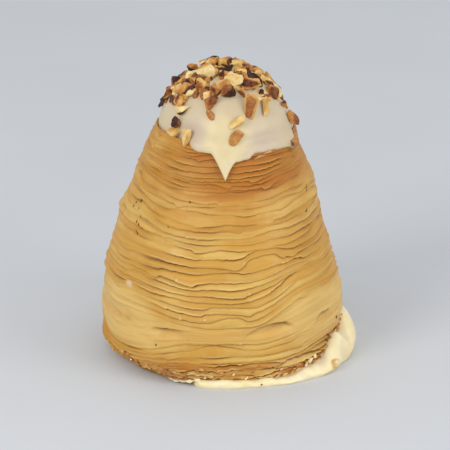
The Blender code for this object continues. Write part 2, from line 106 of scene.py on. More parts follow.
def wallRadius(z):
    above = z - bell["shoulderHeight"]
    span = bell["rimHeight"] - bell["shoulderHeight"]
    rise = (above + np.sqrt(above * above + bell["shoulderSoftness"] ** 2)) / 2
    slope = (bell["skirtRadius"] - bell["rimRadius"]) / span
    share = np.clip(above / span, 0.0, 1.0)
    radius = bell["skirtRadius"] - slope * rise + bell["sideBulge"] * np.sin(np.pi * share ** 1.5)
    depth = np.clip(1 - z / bell["heelHeight"], 0.0, 1.0)
    return radius - bell["heelTuck"] * (1 - np.sqrt(np.clip(1 - depth * depth, 0.0, 1.0)))


def lumps(points, length):
    flat = points.reshape(-1, 3) / length
    return np.array([noise.noise(Vector(p)) for p in flat]).reshape(points.shape[:-1])


def toPoints(radius, azimuth, z):
    turn = np.radians(azimuth)
    return np.stack([radius * np.sin(turn), -radius * np.cos(turn), z + 0 * radius], axis=-1)


def unevenRadius(radius, azimuth, z):
    # The flat front, swell, dent and lumps of the solid; only the sides of the flat front are softer here.
    away = np.clip(np.abs(azimuth) / bell["facetHalfAngle"], 0, 1)
    radius = radius * (1 - bell["facetDepth"] * (1 - away * away) ** 1.5)
    side = np.sin(np.radians(azimuth))
    bellCurve = np.exp(-(((z - bell["swellHeight"]) / bell["swellSpan"]) ** 2))
    radius = radius + np.where(side < 0, bell["leftSwell"], -bell["rightDent"]) * side * side * bellCurve
    radius = radius + bell["rimShift"] * side * smoothShare(z, bell["rimShiftFrom"], bell["rimHeight"])
    tuck = np.clip(1 - z / bell["heelExtraHeight"], 0, 1) ** 1.2
    tuck = tuck * hump(azimuth, bell["heelExtraAzimuth"], bell["heelExtraHalfWidth"])
    radius = radius - bell["heelExtra"] * tuck
    return radius + bell["lumpDepth"] * lumps(toPoints(radius, azimuth, z), bell["lumpLength"])


def wallAt(azimuth, z):
    # How far the bell's wall stands from its axis, at one place.
    azimuth, z = np.array([azimuth]), np.array([z])
    return float(unevenRadius(wallRadius(z), azimuth, z)[0])


def waysAt(azimuth):
    # Level directions at this azimuth: straight out, and along the wall.
    turn = math.radians(azimuth)
    return Vector((math.sin(turn), -math.cos(turn), 0.0)), Vector((math.cos(turn), math.sin(turn), 0.0))


def rimLift(azimuth):
    # How much higher the rim stands on the left, where it holds the cream in.
    return bell["rimRise"] * plateau(azimuth, *bell["rimRiseSpan"])


def columnAngles(count, dense):
    # Azimuths from -180 to 180, closer together where dense(azimuth) is higher.
    fine = np.linspace(-180, 180, 3601)
    total = np.concatenate([[0], np.cumsum(dense((fine[1:] + fine[:-1]) / 2))])
    return np.interp(np.arange(count) * total[-1] / count, total, fine)


def roundNoise(angles, rows, lowest, highest, fall, drift, seed):
    # Smooth noise round the bell, one row a layer; neighbouring rows look alike when drift is small.
    draw = np.random.default_rng(seed)
    turn = np.radians(angles)[None, :]
    row = np.arange(rows)[:, None]
    total = np.zeros((rows, len(angles)))
    power = 0.0
    for k in range(lowest, highest + 1):
        size = (lowest / k) ** fall
        phase = draw.uniform(0, 2 * np.pi) + row * draw.uniform(-drift, drift)
        total += size * np.sin(k * turn + phase)
        power += size * size / 2
    return total / math.sqrt(power)


def gridFaces(rings, columns):
    # Quads between rings that run from the top down, seen from outside.
    i, j = np.meshgrid(np.arange(rings - 1), np.arange(columns), indexing="ij")
    right = (j + 1) % columns
    above, below = i * columns, (i + 1) * columns
    return np.stack([above + j, below + j, below + right, above + right], -1)


def intoScene(name, data):
    thing = bpy.data.objects.new(name, data)
    bpy.context.scene.collection.objects.link(thing)
    return thing


def makePiece(name, points, faces, marks=None, smooth=True):
    mesh = bpy.data.meshes.new(name)
    mesh.from_pydata([tuple(p) for p in points], [], [tuple(int(v) for v in f) for f in faces])
    for mark, values in (marks or {}).items():
        layer = mesh.attributes.new(mark, "FLOAT", "POINT")
        layer.data.foreach_set("value", np.asarray(values, np.float32).ravel())
    mesh.update()
    if smooth:
        mesh.shade_smooth()
    return intoScene(name, mesh)


def closedRings(name, radius, azimuth, z, marks, shift=None):
    # A closed piece from rings that run top to bottom, with a point on the axis at each end.
    points = toPoints(radius, azimuth[None, :], z)
    if shift is not None:
        points[..., 0] += shift
    rings, columns = radius.shape
    ends = [points[0].mean(axis=0), points[-1].mean(axis=0)]
    allPoints = np.concatenate([points.reshape(-1, 3), ends])
    faces = gridFaces(rings, columns).reshape(-1, 4).tolist()
    topAt, footAt, last = rings * columns, rings * columns + 1, (rings - 1) * columns
    for j in range(columns):
        right = (j + 1) % columns
        faces.append([topAt, j, right])
        faces.append([footAt, last + right, last + j])
    fullMarks = {}
    for mark, values in marks.items():
        values = np.asarray(values) + np.zeros((rings, columns))
        fullMarks[mark] = np.concatenate([values.ravel(), [values[0].mean(), values[-1].mean()]])
    return makePiece(name, allPoints, faces, fullMarks)


# Pastry layers

layers = {
    "seed": 21,
    "columns": 470,
    "frontDensity": 1.3,
    "frontHalfWidth": 80,
    "footPitch": 1.1 * mm,
    "footTo": 8.6 * mm,
    "lowPitch": 1.9 * mm,
    "wideFrom": 14.6 * mm,
    "wideTo": 20.4 * mm,
    "wallPitch": 2.05 * mm,
    "wallTo": 59.5 * mm,
    "wrinklePitch": 1.0 * mm,
    "wrinkleTo": 63.5 * mm,
    "rimBandPitch": 1.7 * mm,
    "rimBandTo": 68.5 * mm,
    "rimPitch": 1.0 * mm,
    "pitchSpread": 0.24,
    "ownWander": 0.13,
    "sharedWander": 0.30 * mm,
    # Waves round the bell: fewest, most, how fast the finer ones fall off, and how fast they change upward
    "ownWaves": (2, 18, 0.8, 2.2),
    "sharedWaves": (1, 6, 0.8, 0.22),
    "lipWaves": (1, 16, 0.4, 1.9),
    "bellyWaves": (2, 11, 0.5, 1.9),
    "toneWaves": (1, 7, 0.7, 1.6),
    "rimWaves": (2, 14, 0.5, 0),
    "raggedRim": 0.25 * mm,
    "pinches": 64,
    "pinchHalfWidth": (8, 24),
    "pinchShare": (0.3, 0.8),
    "notches": 60,
    "notchSpread": 22,
    "notchDepth": (0.35 * mm, 0.95 * mm),
    "rightOut": 0.8 * mm,
    "rightOutHeights": (49 * mm, 54 * mm, 61 * mm, 67 * mm),
    "rightOutHump": (88, 60),
    "backHump": (180, 110),
    "lipOut": 0.34 * mm,
    "puff": 0.48 * mm,
    "grooveIn": 0.44 * mm,
    "grooveLine": 0.30 * mm,
    "crispEdge": 0.09 * mm,
    "softEdge": 0.40,
    "raggedFoot": 0.17 * mm,
    "raggedWall": 0.055 * mm,
    "waveDepth": 0.24 * mm,
    "sideRise": 6.2 * mm,
    "leftDrop": 4.6 * mm,
    "rightLift": 3.4 * mm,
    "sideRiseTo": 44.0 * mm,
    "leftFlow": 3.6 * mm,
    "rightFlow": 2.2 * mm,
    "backIn": 0.28 * mm,
    "allIn": 0.06 * mm,
    "pitDepth": 0.35 * mm,
    "creaseDepth": 0.14 * mm,
    # Where each of these begins, is full, begins to fade and ends, in degrees from the front
    "besideSpan": (12, 46, 78, 118),
    "calmSpan": (27, 46, 84, 112),
    "calmTop": (27.0 * mm, 25.5 * mm),
    "dropSpan": (16, 50, 66, 90),
    "liftSpan": (14, 66, 80, 125),
    "flowSpan": (20, 75, 100, 150),
    "flowHeights": (34 * mm, 52 * mm, 58 * mm, 71 * mm),
    "creaseSpan": (34, 46, 84, 100),
    "crispSpan": (-44, -22, 30, 62),
    # Where strips of dough end: azimuth, and how widely the ends are scattered
    "seams": ((-22, 8), (14, 7), (0, 30), (95, 40), (-110, 40), (180, 30)),
    # The sunk face inside the rim: share of the radius, and height in millimetres
    "insideRim": ((0.2, 71.0), (0.9, 71.0), (0.965, 72.4)),
    # Where the front's layers kink upward at its two seams: azimuth, half width in degrees, rise in mm
    "kinks": ((-25.0, 13.0, 0.6), (20.0, 13.0, 0.7)),
    "kinkFade": (12, 48),
    # A pale scar where a layer has torn: azimuth, then height, half length and half width in mm
    "scar": (-52.6, 29.2, 1.8, 0.95),
    # Loose ends of layers: azimuth of the free end, height in mm, length in degrees (- runs left), rise in mm
    "flaps": (
        (-33.0, 44.6, -30, 0.55),
        (-22.5, 53.2, 24, 0.48),
        (-20.5, 46.6, 22, 0.44),
        (-17.0, 16.8, 33, 0.24),
        (-19.5, 22.2, -14, 0.48),
        (-27.0, 25.0, -12, 0.40),
        (9.0, 16.5, -26, 0.24),
        (-10.0, 59.0, 22, 0.40),
        (14.0, 31.0, -38, 0.44),
        (14.8, 41.6, 30, 0.42),
        (12.2, 39.0, -34, 0.42),
        (33.0, 36.2, 22, 0.36),
        (24.0, 28.0, -30, 0.36),
        (-24.0, 33.0, 20, 0.36),
        (130.0, 40.0, 30, 0.38),
        (165.0, 28.0, -35, 0.34),
        (-150.0, 50.0, 35, 0.38),
        (-120.0, 22.0, -25, 0.34),
        (178.0, 58.0, 30, 0.34),
        (85.0, 24.0, 24, 0.30),
        (-85.0, 44.0, -24, 0.34),
    ),
    # Dents under an arched edge: azimuth and height along it, then where it is deepest, depth and fade, in mm
    "dents": (
        (((-38, 17.0), (-34, 18.2), (-27, 18.9), (-17, 18.6)), -30, 1.9, 4.2),
        (((7, 14.9), (13, 18.0), (18, 19.7), (25, 20.6), (31, 20.5), (37, 18.2)), 28, 1.9, 4.6),
        (((48, 17.5), (55, 19.6), (66, 19.0)), 56, 0.5, 3.0),
        (((-62, 17.8), (-55, 19.2), (-47, 18.6)), -54, 0.45, 2.6),
        (((136, 17.6), (146, 19.6), (164, 18.8)), 148, 0.9, 3.2),
        (((-152, 18.4), (-140, 19.7), (-128, 17.8)), -138, 1.0, 3.2),
    ),
    # Short upright creases: azimuth, lowest and highest point in mm
    "creases": (
        (-16.5, 14.9, 18.8),
        (8.5, 15.2, 17.2),
        (-10.2, 9.4, 10.9),
        (-33.0, 43.6, 45.4),
        (-22.5, 52.0, 53.4),
        (14.8, 40.8, 42.0),
        (12.0, 38.2, 39.4),
        (-8.8, 55.0, 57.6),
        (170.0, 15.0, 18.6),
    ),
    # Pits in the crust: azimuth, height and size in mm
    "pits": (
        (-65.5, 53.3, 0.40),
        (-61.8, 53.1, 0.45),
        (-66.2, 52.1, 0.28),
        (-68.5, 50.6, 0.35),
        (-61.3, 50.9, 0.26),
        (-61.3, 49.4, 0.30),
        (-56.5, 49.3, 0.38),
        (-57.5, 47.4, 0.42),
        (-54.5, 47.1, 0.48),
        (-53.2, 46.5, 0.42),
        (-56.5, 44.7, 0.48),
        (-55.8, 44.0, 0.32),
        (67.2, 57.0, 0.46),
        (68.4, 55.6, 0.36),
        (63.2, 50.1, 0.58),
        (-21.0, 57.0, 0.30),
        (74.2, 13.4, 0.6),
        (62.5, 9.8, 0.55),
        (61.0, 8.6, 0.5),
        (-46.0, 20.0, 0.35),
        (-44.0, 21.0, 0.3),
        (-33.0, 12.6, 0.3),
        (62.0, 19.0, 0.3),
        (150.0, 34.0, 0.5),
        (-160.0, 44.0, 0.45),
    ),
}


def lipHeights():
    # Heights of the lower lips from the foot up, closer at the foot and under the rim.
    draw = random.Random(layers["seed"])
    zones = (
        (layers["footTo"], layers["footPitch"]),
        (layers["wideFrom"], layers["lowPitch"]),
        (layers["wideTo"], layers["wideTo"]),
        (layers["wallTo"], layers["wallPitch"]),
        (layers["wrinkleTo"], layers["wrinklePitch"]),
        (layers["rimBandTo"], layers["rimBandPitch"]),
        (bell["rimHeight"], layers["rimPitch"]),
    )
    lips = [1.0 * mm]
    for end, pitch in zones:
        while True:
            step = pitch * (1 + layers["pitchSpread"] * draw.uniform(-1, 1))
            if lips[-1] + step > end - 0.45 * min(pitch, layers["wallPitch"]):
                break
            lips.append(lips[-1] + step)
        if end < bell["rimHeight"]:
            lips.append(end)
    return np.array([0.0, *lips, bell["rimHeight"]])


def besideFront(angles):
    # 0 on the front and at the back, 1 to the right of the front and a quarter to the left of it.
    return np.where(angles > 0, 1.0, 0.25) * plateau(np.abs(angles), *layers["besideSpan"])


def calmness(azimuth, z):
    # 1 where the wide band widens into a smooth patch, on both sides of the front.
    left, right = layers["calmTop"]
    top = np.where(azimuth > 0, right, left)
    upright = plateau(z, 10.5 * mm, 13.0 * mm, top - 2 * mm, top + 1.5 * mm)
    return plateau(np.abs(azimuth), *layers["calmSpan"]) * upright


def isLip(height, *names):
    # Whether this lip is one of the wide band's own edges.
    return any(abs(height - layers[name]) < 0.1 * mm for name in names)


def settledLips(even, angles):
    # Each lip's height at each azimuth: lips wander, kink, part round the wide band and run together.
    count = len(even)
    seed = layers["seed"]
    gaps = np.minimum(np.diff(even, prepend=-1 * mm), 2.6 * mm)
    ends = np.sin(np.pi * np.clip(even / bell["rimHeight"], 0, 1))[:, None] ** 0.5
    own = roundNoise(angles, count, *layers["ownWaves"], seed + 1) * gaps[:, None] * layers["ownWander"]
    shared = roundNoise(angles, count, *layers["sharedWaves"], seed + 2) * layers["sharedWander"]
    heights = even[:, None] + (own + shared) * ends
    above = (even >= layers["wideTo"] - 0.1 * mm)[:, None]
    fadeUp = (1 - smoothShare(even, layers["wideTo"], layers["sideRiseTo"]))[:, None]
    heights += np.where(above, layers["sideRise"] * fadeUp, 0) * besideFront(angles)
    below = np.where(even <= layers["wideFrom"] + 0.1 * mm, even / layers["wideFrom"], 0)[:, None] ** 0.8
    drop = layers["leftDrop"] * plateau(-angles, *layers["dropSpan"])
    lift = layers["rightLift"] * plateau(angles, *layers["liftSpan"])
    heights += (lift - drop) * below
    flow = plateau(np.abs(angles), *layers["flowSpan"])
    flow = flow * np.where(angles > 0, layers["rightFlow"], layers["leftFlow"])
    heights += flow * plateau(even, *layers["flowHeights"])[:, None]
    for azimuth, halfWidth, rise in layers["kinks"]:
        outward = np.sign(azimuth) * (angles - azimuth)
        heights += rise * mm * plateau(outward, -halfWidth, halfWidth, *layers["kinkFade"]) * ends * above
    draw = random.Random(seed + 1)
    pinchLips(heights, even, angles, draw)
    notchLips(heights, even, angles, draw)
    return heights


def pinchLips(heights, even, angles, draw):
    # Here and there a lip runs up into the next one and leaves it again.
    for _ in range(layers["pinches"]):
        i = draw.randrange(3, len(even) - 2)
        if isLip(even[i], "wideTo") or isLip(even[i + 1], "wideTo"):
            continue
        centre, halfWidth = draw.uniform(-180, 180), draw.uniform(*layers["pinchHalfWidth"])
        away = turnFrom(angles, centre)
        sharp = draw.uniform(5, 12)
        if draw.random() < 0.5:
            away = -away
        share = plateau(away, -halfWidth, -halfWidth + sharp, 0, halfWidth)
        share = share * draw.uniform(*layers["pinchShare"])
        heights[i] += share * (heights[i + 1] - heights[i])


def notchLips(heights, even, angles, draw):
    # Small dips and peaks of a lip, steep on one side and slow on the other, most of them at the front.
    for k in range(layers["notches"]):
        i = draw.randrange(4, len(even) - 2)
        centre = draw.uniform(-180, 180) if k % 2 else draw.gauss(0, layers["notchSpread"])
        depth = draw.uniform(*layers["notchDepth"]) * draw.choice((-0.6, 1, 1))
        steep, slow = draw.uniform(0.8, 2.0), draw.uniform(3.0, 9.0)
        away = turnFrom(angles, centre) * draw.choice((-1, 1))
        dip = np.exp(-((away / np.where(away < 0, steep, slow)) ** 2))
        heights[i] -= depth * dip * (not isLip(even[i], "wideTo", "wideFrom"))


def seamTones(rows, angles):
    # A layer's colour steps where one strip of dough ends on the next, mostly beside the front.
    draw = random.Random(layers["seed"] + 9)
    tones = np.zeros((rows, len(angles)))
    for i in range(rows):
        for centre, spread in layers["seams"]:
            away = turnFrom(angles, draw.gauss(centre, spread))
            tones[i] += draw.gauss(0, 0.4) * plateau(away, -0.4, 0.4, 10, 40)
    return tones


def crispness(angles):
    # 1 where the layers' edges stand crisp, as on the front and the back, and lower on the sides.
    front = plateau(angles, *layers["crispSpan"])
    return np.clip(0.16 + 0.12 * (angles > 0) + 0.85 * front + 0.6 * hump(angles, 176, 70), 0, 1)


def lipShapes(even, angles):
    # Each lip's height and how strongly it stands out, at each azimuth.
    rows = len(even)
    seed = layers["seed"]
    heights = settledLips(even, angles)
    strength = np.clip(0.84 + 0.46 * roundNoise(angles, rows, *layers["lipWaves"], seed + 3), 0.1, 1.6)
    strength *= (0.42 + 0.58 * crispness(angles)) * (1 - 0.9 * calmness(angles[None, :], heights))
    atCrease = np.abs(even - layers["wideFrom"]).argmin()
    crease = 0.95 * plateau(-angles, *layers["creaseSpan"])
    strength[atCrease] = np.maximum(strength[atCrease], crease)
    rough = np.random.default_rng(seed + 4).normal(size=heights.shape)
    rough = sum(np.roll(rough, k, 1) * weight for k, weight in enumerate((0.5, 1.0, 1.2, 1.0, 0.5))) / 2.0
    footness = 1 - smoothShare(heights, 4 * mm, 10 * mm)
    heights = heights + rough * (layers["raggedWall"] + layers["raggedFoot"] * footness)
    heights[0] = 0
    heights = np.maximum.accumulate(heights + np.arange(rows)[:, None] * 0.015 * mm, axis=0)
    return heights, strength


def layerRings(even, heights, strength, angles):
    # The rings of every layer, from the top one down: groove, belly and lip, with their marks. The groove
    # mark is painted shade under each lip, and the lip mark is a painted highlight along each lip.
    last = len(even) - 2
    seed = layers["seed"]
    crisp = crispness(angles)
    waves = roundNoise(angles, last + 2, *layers["bellyWaves"], seed + 5)
    tone = roundNoise(angles, last + 2, *layers["toneWaves"], seed + 6)
    toneOfLayer = np.random.default_rng(seed + 7).normal(size=(last + 2, 1))
    shades = 0.4 * tone + 0.42 * toneOfLayer + 0.9 * seamTones(last + 2, angles)
    rings = {"z": [], "off": [], "lip": [], "grooveShade": [], "level": [], "tone": []}
    ownerOf = []
    for i in range(last, -1, -1):
        low, high = heights[i], heights[i + 1]
        band = high - low
        full = np.clip(band / (1.3 * mm), 0.05, 1.0)
        topFull = full if i < last else 0 * full
        atFoot = 1 - smoothShare(even[i], 7 * mm, 11 * mm)
        grooveIn = layers["grooveIn"] * strength[i + 1] * topFull * (1 + 0.5 * atFoot)
        lipOut = layers["lipOut"] * strength[i] * np.clip(band / (1.2 * mm), 0.15, 1.15)
        belly = layers["waveDepth"] * waves[i] * np.clip(band / (2.2 * mm), 0.15, 1.0) * (1.3 - 0.5 * crisp)
        under = np.minimum(layers["crispEdge"] + (1 - crisp) * layers["softEdge"] * band, 0.35 * band)
        line = np.minimum(layers["grooveLine"] * (1 + 0.8 * (1 - crisp)), (0.2 + 0.12 * atFoot) * band)
        shoulder = np.minimum(0.8 * mm, 0.4 * band)
        nearLip = np.minimum(0.42 * mm, 0.22 * band)
        puff = layers["puff"] * (1 - crisp) * np.clip(band / (1.6 * mm), 0, 1)
        puff = puff * (1 - 0.9 * calmness(angles, low))
        rows = [
            (high - under, -grooveIn - puff, 0, strength[i + 1] * topFull),
            (high - under - line, -0.8 * (grooveIn + puff), 0, 0.7 * strength[i + 1] * topFull),
            (high - under - shoulder, -0.12 * (grooveIn + puff) + 0.6 * belly, 0, 0.05),
        ]
        start, end = high - under - shoulder, low + nearLip
        middles = 1 + int(max(0.0, even[i + 1] - even[i] - 2.4 * mm) / (0.14 * mm))
        for k in range(1, middles + 1):
            share = k / (middles + 1)
            rows.append((start + (end - start) * share, 0.55 * share * lipOut + belly, 0, 0))
        rows.append((end, 0.88 * lipOut + 0.6 * belly - 0.1 * puff, 0.4 * strength[i], 0))
        rows.append((low, 0.92 * lipOut + 0.3 * belly - 0.6 * puff, strength[i] * full, 0))
        for z, off, lip, grooveShade in rows:
            share = np.clip((z - low) / np.maximum(band, 0.01 * mm), 0, 1)
            level = even[i] + (even[i + 1] - even[i]) * share
            for name, value in zip(rings, (z, off, lip, grooveShade, level, shades[i])):
                rings[name].append(value + 0 * angles)
            ownerOf.append(i)
    marks = {name: np.array(values) for name, values in rings.items()}
    return marks.pop("z"), marks.pop("off"), marks, np.array(ownerOf)[:, None]


def raiseFlaps(grid, z, off, marks, even, heights, ownerOf):
    # Each flap stands out most at its free end, where its lip gets a painted highlight.
    for azimuth, height, length, rise in layers["flaps"]:
        owner = np.abs(even - height * mm).argmin()
        start, end = sorted((azimuth, azimuth + length))
        along = (grid - start) / (end - start)
        inside = (along >= 0) & (along <= 1)
        fade = smoothShare(along if length > 0 else 1 - along, 1.0, 0.35)
        share = np.clip((heights[min(owner + 1, len(even) - 1)] - z) / (1.4 * mm), 0, 1)
        raised = rise * mm * fade * inside * (ownerOf == owner) * share
        off = off + raised
        freeEnd = (raised > 0.7 * rise * mm) * (np.abs(grid - azimuth) < 1.0)
        marks["lip"] = marks["lip"] + 0.5 * freeEnd
    return off


def pressDents(grid, z, off, marks):
    # Each dent gets painted shadow right under its arched edge, and a painted highlight on the edge itself.
    for edge, deepest, depth, fadeDown in layers["dents"]:
        places, edgeHeights = np.array(edge).T
        first, last = places[0], places[-1]
        inside = (grid > first) & (grid < last)
        across = smoothShare(grid, first, deepest) * (1 - smoothShare(grid, deepest, last)) ** 0.7
        below = np.where(inside, np.interp(grid, places, edgeHeights * mm) - z, -1)
        under = smoothShare(below, -0.05 * mm, 0.22 * mm)
        off = off - depth * mm * across * under * (1 - smoothShare(below, 0.4 * mm, fadeDown * mm))
        dentShadow = across ** 0.6 * under * (1 - smoothShare(below, 0.2 * mm, 2.4 * mm))
        marks["grooveShade"] = np.maximum(marks["grooveShade"], 0.85 * dentShadow)
        browHighlight = across * plateau(-below, -0.1 * mm, 0.15 * mm, 0.2 * mm, 0.7 * mm)
        marks["lip"] = marks["lip"] + 0.8 * np.where(inside, browHighlight, 0)
    return off


def markWall(grid, z, radius, marks):
    # Pits, short upright creases with painted shade in them, and the pale scar.
    marks["pit"] = np.zeros(z.shape)
    for azimuth, height, size in layers["pits"]:
        far = np.hypot(np.radians(grid - azimuth) * radius, z - height * mm)
        marks["pit"] += 1 - smoothShare(far, 0.7 * size * mm, 1.7 * size * mm)
    marks["pit"] = np.clip(marks["pit"], 0, 1)
    radius = radius - layers["pitDepth"] * marks["pit"]
    for azimuth, low, high in layers["creases"]:
        near = 1 - smoothShare(np.abs(grid - azimuth), 0.1, 1.0)
        near = near * plateau(z, (low - 0.2) * mm, (low + 0.2) * mm, high * mm, (high + 0.3) * mm)
        marks["grooveShade"] = np.maximum(marks["grooveShade"], 0.38 * near)
        radius = radius - layers["creaseDepth"] * near
    azimuth, height, halfLength, halfWidth = layers["scar"]
    along, above = np.radians(grid - azimuth) * radius / mm, z / mm - height
    far = np.hypot(along / halfLength, above / halfWidth)
    marks["scar"] = 1 - smoothShare(far, 0.6, 1.1)
    return radius


def toneWall(grid, z, marks):
    # Toasted towards the rim, caramel at the foot, and calm and creamy on the wide band.
    marks["toast"] = 0.3 * smoothShare(z, 40 * mm, 52 * mm) * hump(grid, 0, 70)
    marks["toast"] += 0.95 * smoothShare(z, 52 * mm, 66 * mm) * (0.25 + 0.75 * hump(grid, 30, 105))
    level = marks["level"]
    marks["foot"] = 1 - smoothShare(level, 5.0 * mm, 12.5 * mm)
    marks["foot"] *= 1 - 0.6 * smoothShare(-grid, 20, 45)
    fromBand = np.abs(level - (layers["wideFrom"] + layers["wideTo"]) / 2)
    band = 1 - smoothShare(fromBand, 2.6 * mm, 3.4 * mm)
    lowLeft = hump(grid, -50, 45) * (1 - smoothShare(level, 10 * mm, 13 * mm))
    marks["calm"] = calmness(grid, z) * (1 - 0.6 * smoothShare(-grid, 62, 80)) + 0.55 * band + 0.5 * lowLeft


def closeEnds(radius, z, angles, marks):
    # Adds the rim's top edge, the sunk face inside it, and the underside.
    ragged = roundNoise(angles, 1, *layers["rimWaves"], layers["seed"] + 8)[0]
    topRadius = [radius[0] * share for share, _ in layers["insideRim"]]
    topZ = [height * mm + 0 * angles for _, height in layers["insideRim"]]
    topRadius.append(radius[0] * 0.992 - 0.1 * mm)
    topZ.append(bell["rimHeight"] + layers["raggedRim"] * ragged)
    foot = [wallRadius(0.0) + 0 * angles, 8 * mm + 0 * angles]
    radius = np.concatenate([topRadius, radius, foot])
    z = np.concatenate([topZ, z, [0 * angles, 0 * angles]])
    z[2:] += rimLift(angles) * smoothShare(z[2:], bell["rimShiftFrom"], bell["rimHeight"])
    for mark, values in marks.items():
        head = np.repeat(values[:1], len(topZ), axis=0)
        marks[mark] = np.concatenate([head, values, np.repeat(values[-1:], len(foot), axis=0)])
    return radius, z


def makeLayers():
    front = layers["frontHalfWidth"]
    angles = columnAngles(layers["columns"], lambda a: 1 + layers["frontDensity"] * (np.abs(a) < front))
    even = lipHeights()
    heights, strength = lipShapes(even, angles)
    z, off, marks, ownerOf = layerRings(even, heights, strength, angles)
    grid = np.broadcast_to(angles, z.shape)
    off = raiseFlaps(grid, z, off, marks, even, heights, ownerOf)
    off = pressDents(grid, z, off, marks)
    radius = unevenRadius(wallRadius(z), grid, z) + off
    rightOut = layers["rightOut"] * plateau(z, *layers["rightOutHeights"])
    radius = radius + rightOut * hump(grid, *layers["rightOutHump"])
    radius = markWall(grid, z, radius, marks)
    radius = radius - layers["backIn"] * hump(grid, *layers["backHump"]) - layers["allIn"]
    toneWall(grid, z, marks)
    radius = np.where(z < 0.4 * mm, np.minimum(radius, wallRadius(z)), radius)
    radius, z = closeEnds(radius, np.maximum(z, 0.05 * mm), angles, marks)
    piece = closedRings("pastryLayers", radius, angles, z, marks)
    print("pastry layers:", len(even) - 1, "layers,", radius.size, "points")
    return piece


# Cream cap

cap = {
    "shift": 1.0 * mm,
    "radius": 20.9 * mm,
    "rise": 20.0 * mm,
    "base": 72.0 * mm,
    "underside": 71.3 * mm,
    "edge": 0.8 * mm,
    "dripAzimuth": 2.0,
    "dripHalfWidths": (11.5, 8.5),
    "dripLength": 6.2 * mm,
    "dripThickness": 0.9 * mm,
    "rightSlope": 0.14,
    "columns": 260,
    "domeRings": 46,
    "skirtRings": 22,
    "ridge": 1.0 * mm,
    "ridgeHalfWidth": 21.0,
    "hollow": 0.55 * mm,
    "waves": 0.30 * mm,
    "seed": 41,
    "edgeRipple": 0.13 * mm,
    "edgeWaves": (7, 34, 0.6, 0),
    "domeTo": 80.0,
    # Soft hollows beside the drip: azimuth, half width in degrees, height and half height in mm
    "hollows": ((-30, 14, 76.5, 4.2), (36, 20, 74.0, 3.4)),
    # How low the cream's edge hangs: azimuth, height in mm
    "edgeHeights": (
        (-180, 71.4),
        (-130, 71.8),
        (-112, 72.9),
        (-42, 73.0),
        (-30, 72.7),
        (-18, 71.5),
        (-9, 71.1),
        (10, 68.8),
        (19, 69.1),
        (26, 70.7),
        (43, 70.8),
        (58, 70.1),
        (66, 68.8),
        (78, 71.9),
        (110, 72.3),
        (130, 71.5),
        (180, 71.4),
    ),
}


def dripShape(azimuth):
    away = azimuth - cap["dripAzimuth"]
    left, right = cap["dripHalfWidths"]
    away = np.abs(away) / np.where(away > 0, right, left)
    return np.clip(1 - away, 0, 1) ** 1.5


def insideRim(azimuth):
    # 1 on the left and the right, where the cream ends inside the rim, and 0 where it laps over the rim.
    return plateau(azimuth, -128, -112, -38, -25) + plateau(azimuth, 66, 80, 112, 128)


def capEdge(azimuth):
    return smoothTable(azimuth, cap["edgeHeights"]) * mm - cap["dripLength"] * dripShape(azimuth)


def rightSlope(azimuth, rise):
    # The dome's radius shrinks by this factor high up on the right.
    right = np.clip(np.sin(np.radians(azimuth)), 0, 1)
    return 1 - cap["rightSlope"] * right * smoothShare(rise, 3 * mm, 14 * mm)


def capRings(angles, edge):
    # The dome from its top down, then rings that blend from the dome into the lap over the rim.
    thick = cap["dripThickness"] * dripShape(angles)
    inside = insideRim(angles)
    lastFall = math.radians(cap["domeTo"])
    joinZ = cap["base"] + cap["rise"] * math.cos(lastFall)
    radius, z, nearEdge = [], [], []
    for fall in np.linspace(0, 1, cap["domeRings"])[1:] ** 0.9 * lastFall:
        z.append(cap["base"] + cap["rise"] * math.cos(fall) + 0 * angles)
        radius.append(cap["radius"] * math.sin(fall) + 0 * angles)
        nearEdge.append(0 * angles)
    for k in range(1, cap["skirtRings"] + 1):
        share = (k / cap["skirtRings"]) ** 0.8
        level = joinZ + (edge - joinZ) * share
        above = np.clip((level - cap["base"]) / cap["rise"], 0, 1)
        dome = cap["radius"] * np.sqrt(1 - above ** 2)
        toEdge = (level - edge) / (1.3 * mm)
        lip = np.sqrt(np.clip(1 - np.clip(1 - toEdge, 0, 1) ** 2, 0, 1))
        onWall = unevenRadius(wallRadius(level), angles, level) + (cap["edge"] + thick) * lip
        onWall = onWall + (cap["radius"] * 0.985 - onWall) * inside
        blend = smoothShare(share, 0.0, 0.55)
        radius.append(np.maximum(dome, dome * (1 - blend) + onWall * blend))
        z.append(level)
        nearEdge.append(1 - np.clip(toEdge / 1.6, 0, 1))
    return np.array(radius), np.array(z), np.array(nearEdge)


def capRidge(grid, down):
    # A soft ridge that runs from the top down into the drip.
    ridgeAt = cap["dripAzimuth"] - 7 * (1 - smoothShare(down, 0.3, 1.0))
    width = cap["ridgeHalfWidth"] * (1 - 0.3 * smoothShare(down, 0.85, 1.1))
    ridge = np.exp(-((grid - ridgeAt) / width) ** 2) * smoothShare(down, 0.25, 0.75)
    return ridge * (1 - 0.4 * smoothShare(down, 1.0, 1.3))


def capHollow(grid, z, azimuth, halfWidth, height, halfHeight):
    return np.exp(-((grid - azimuth) / halfWidth) ** 2 - ((z / mm - height) / halfHeight) ** 2)


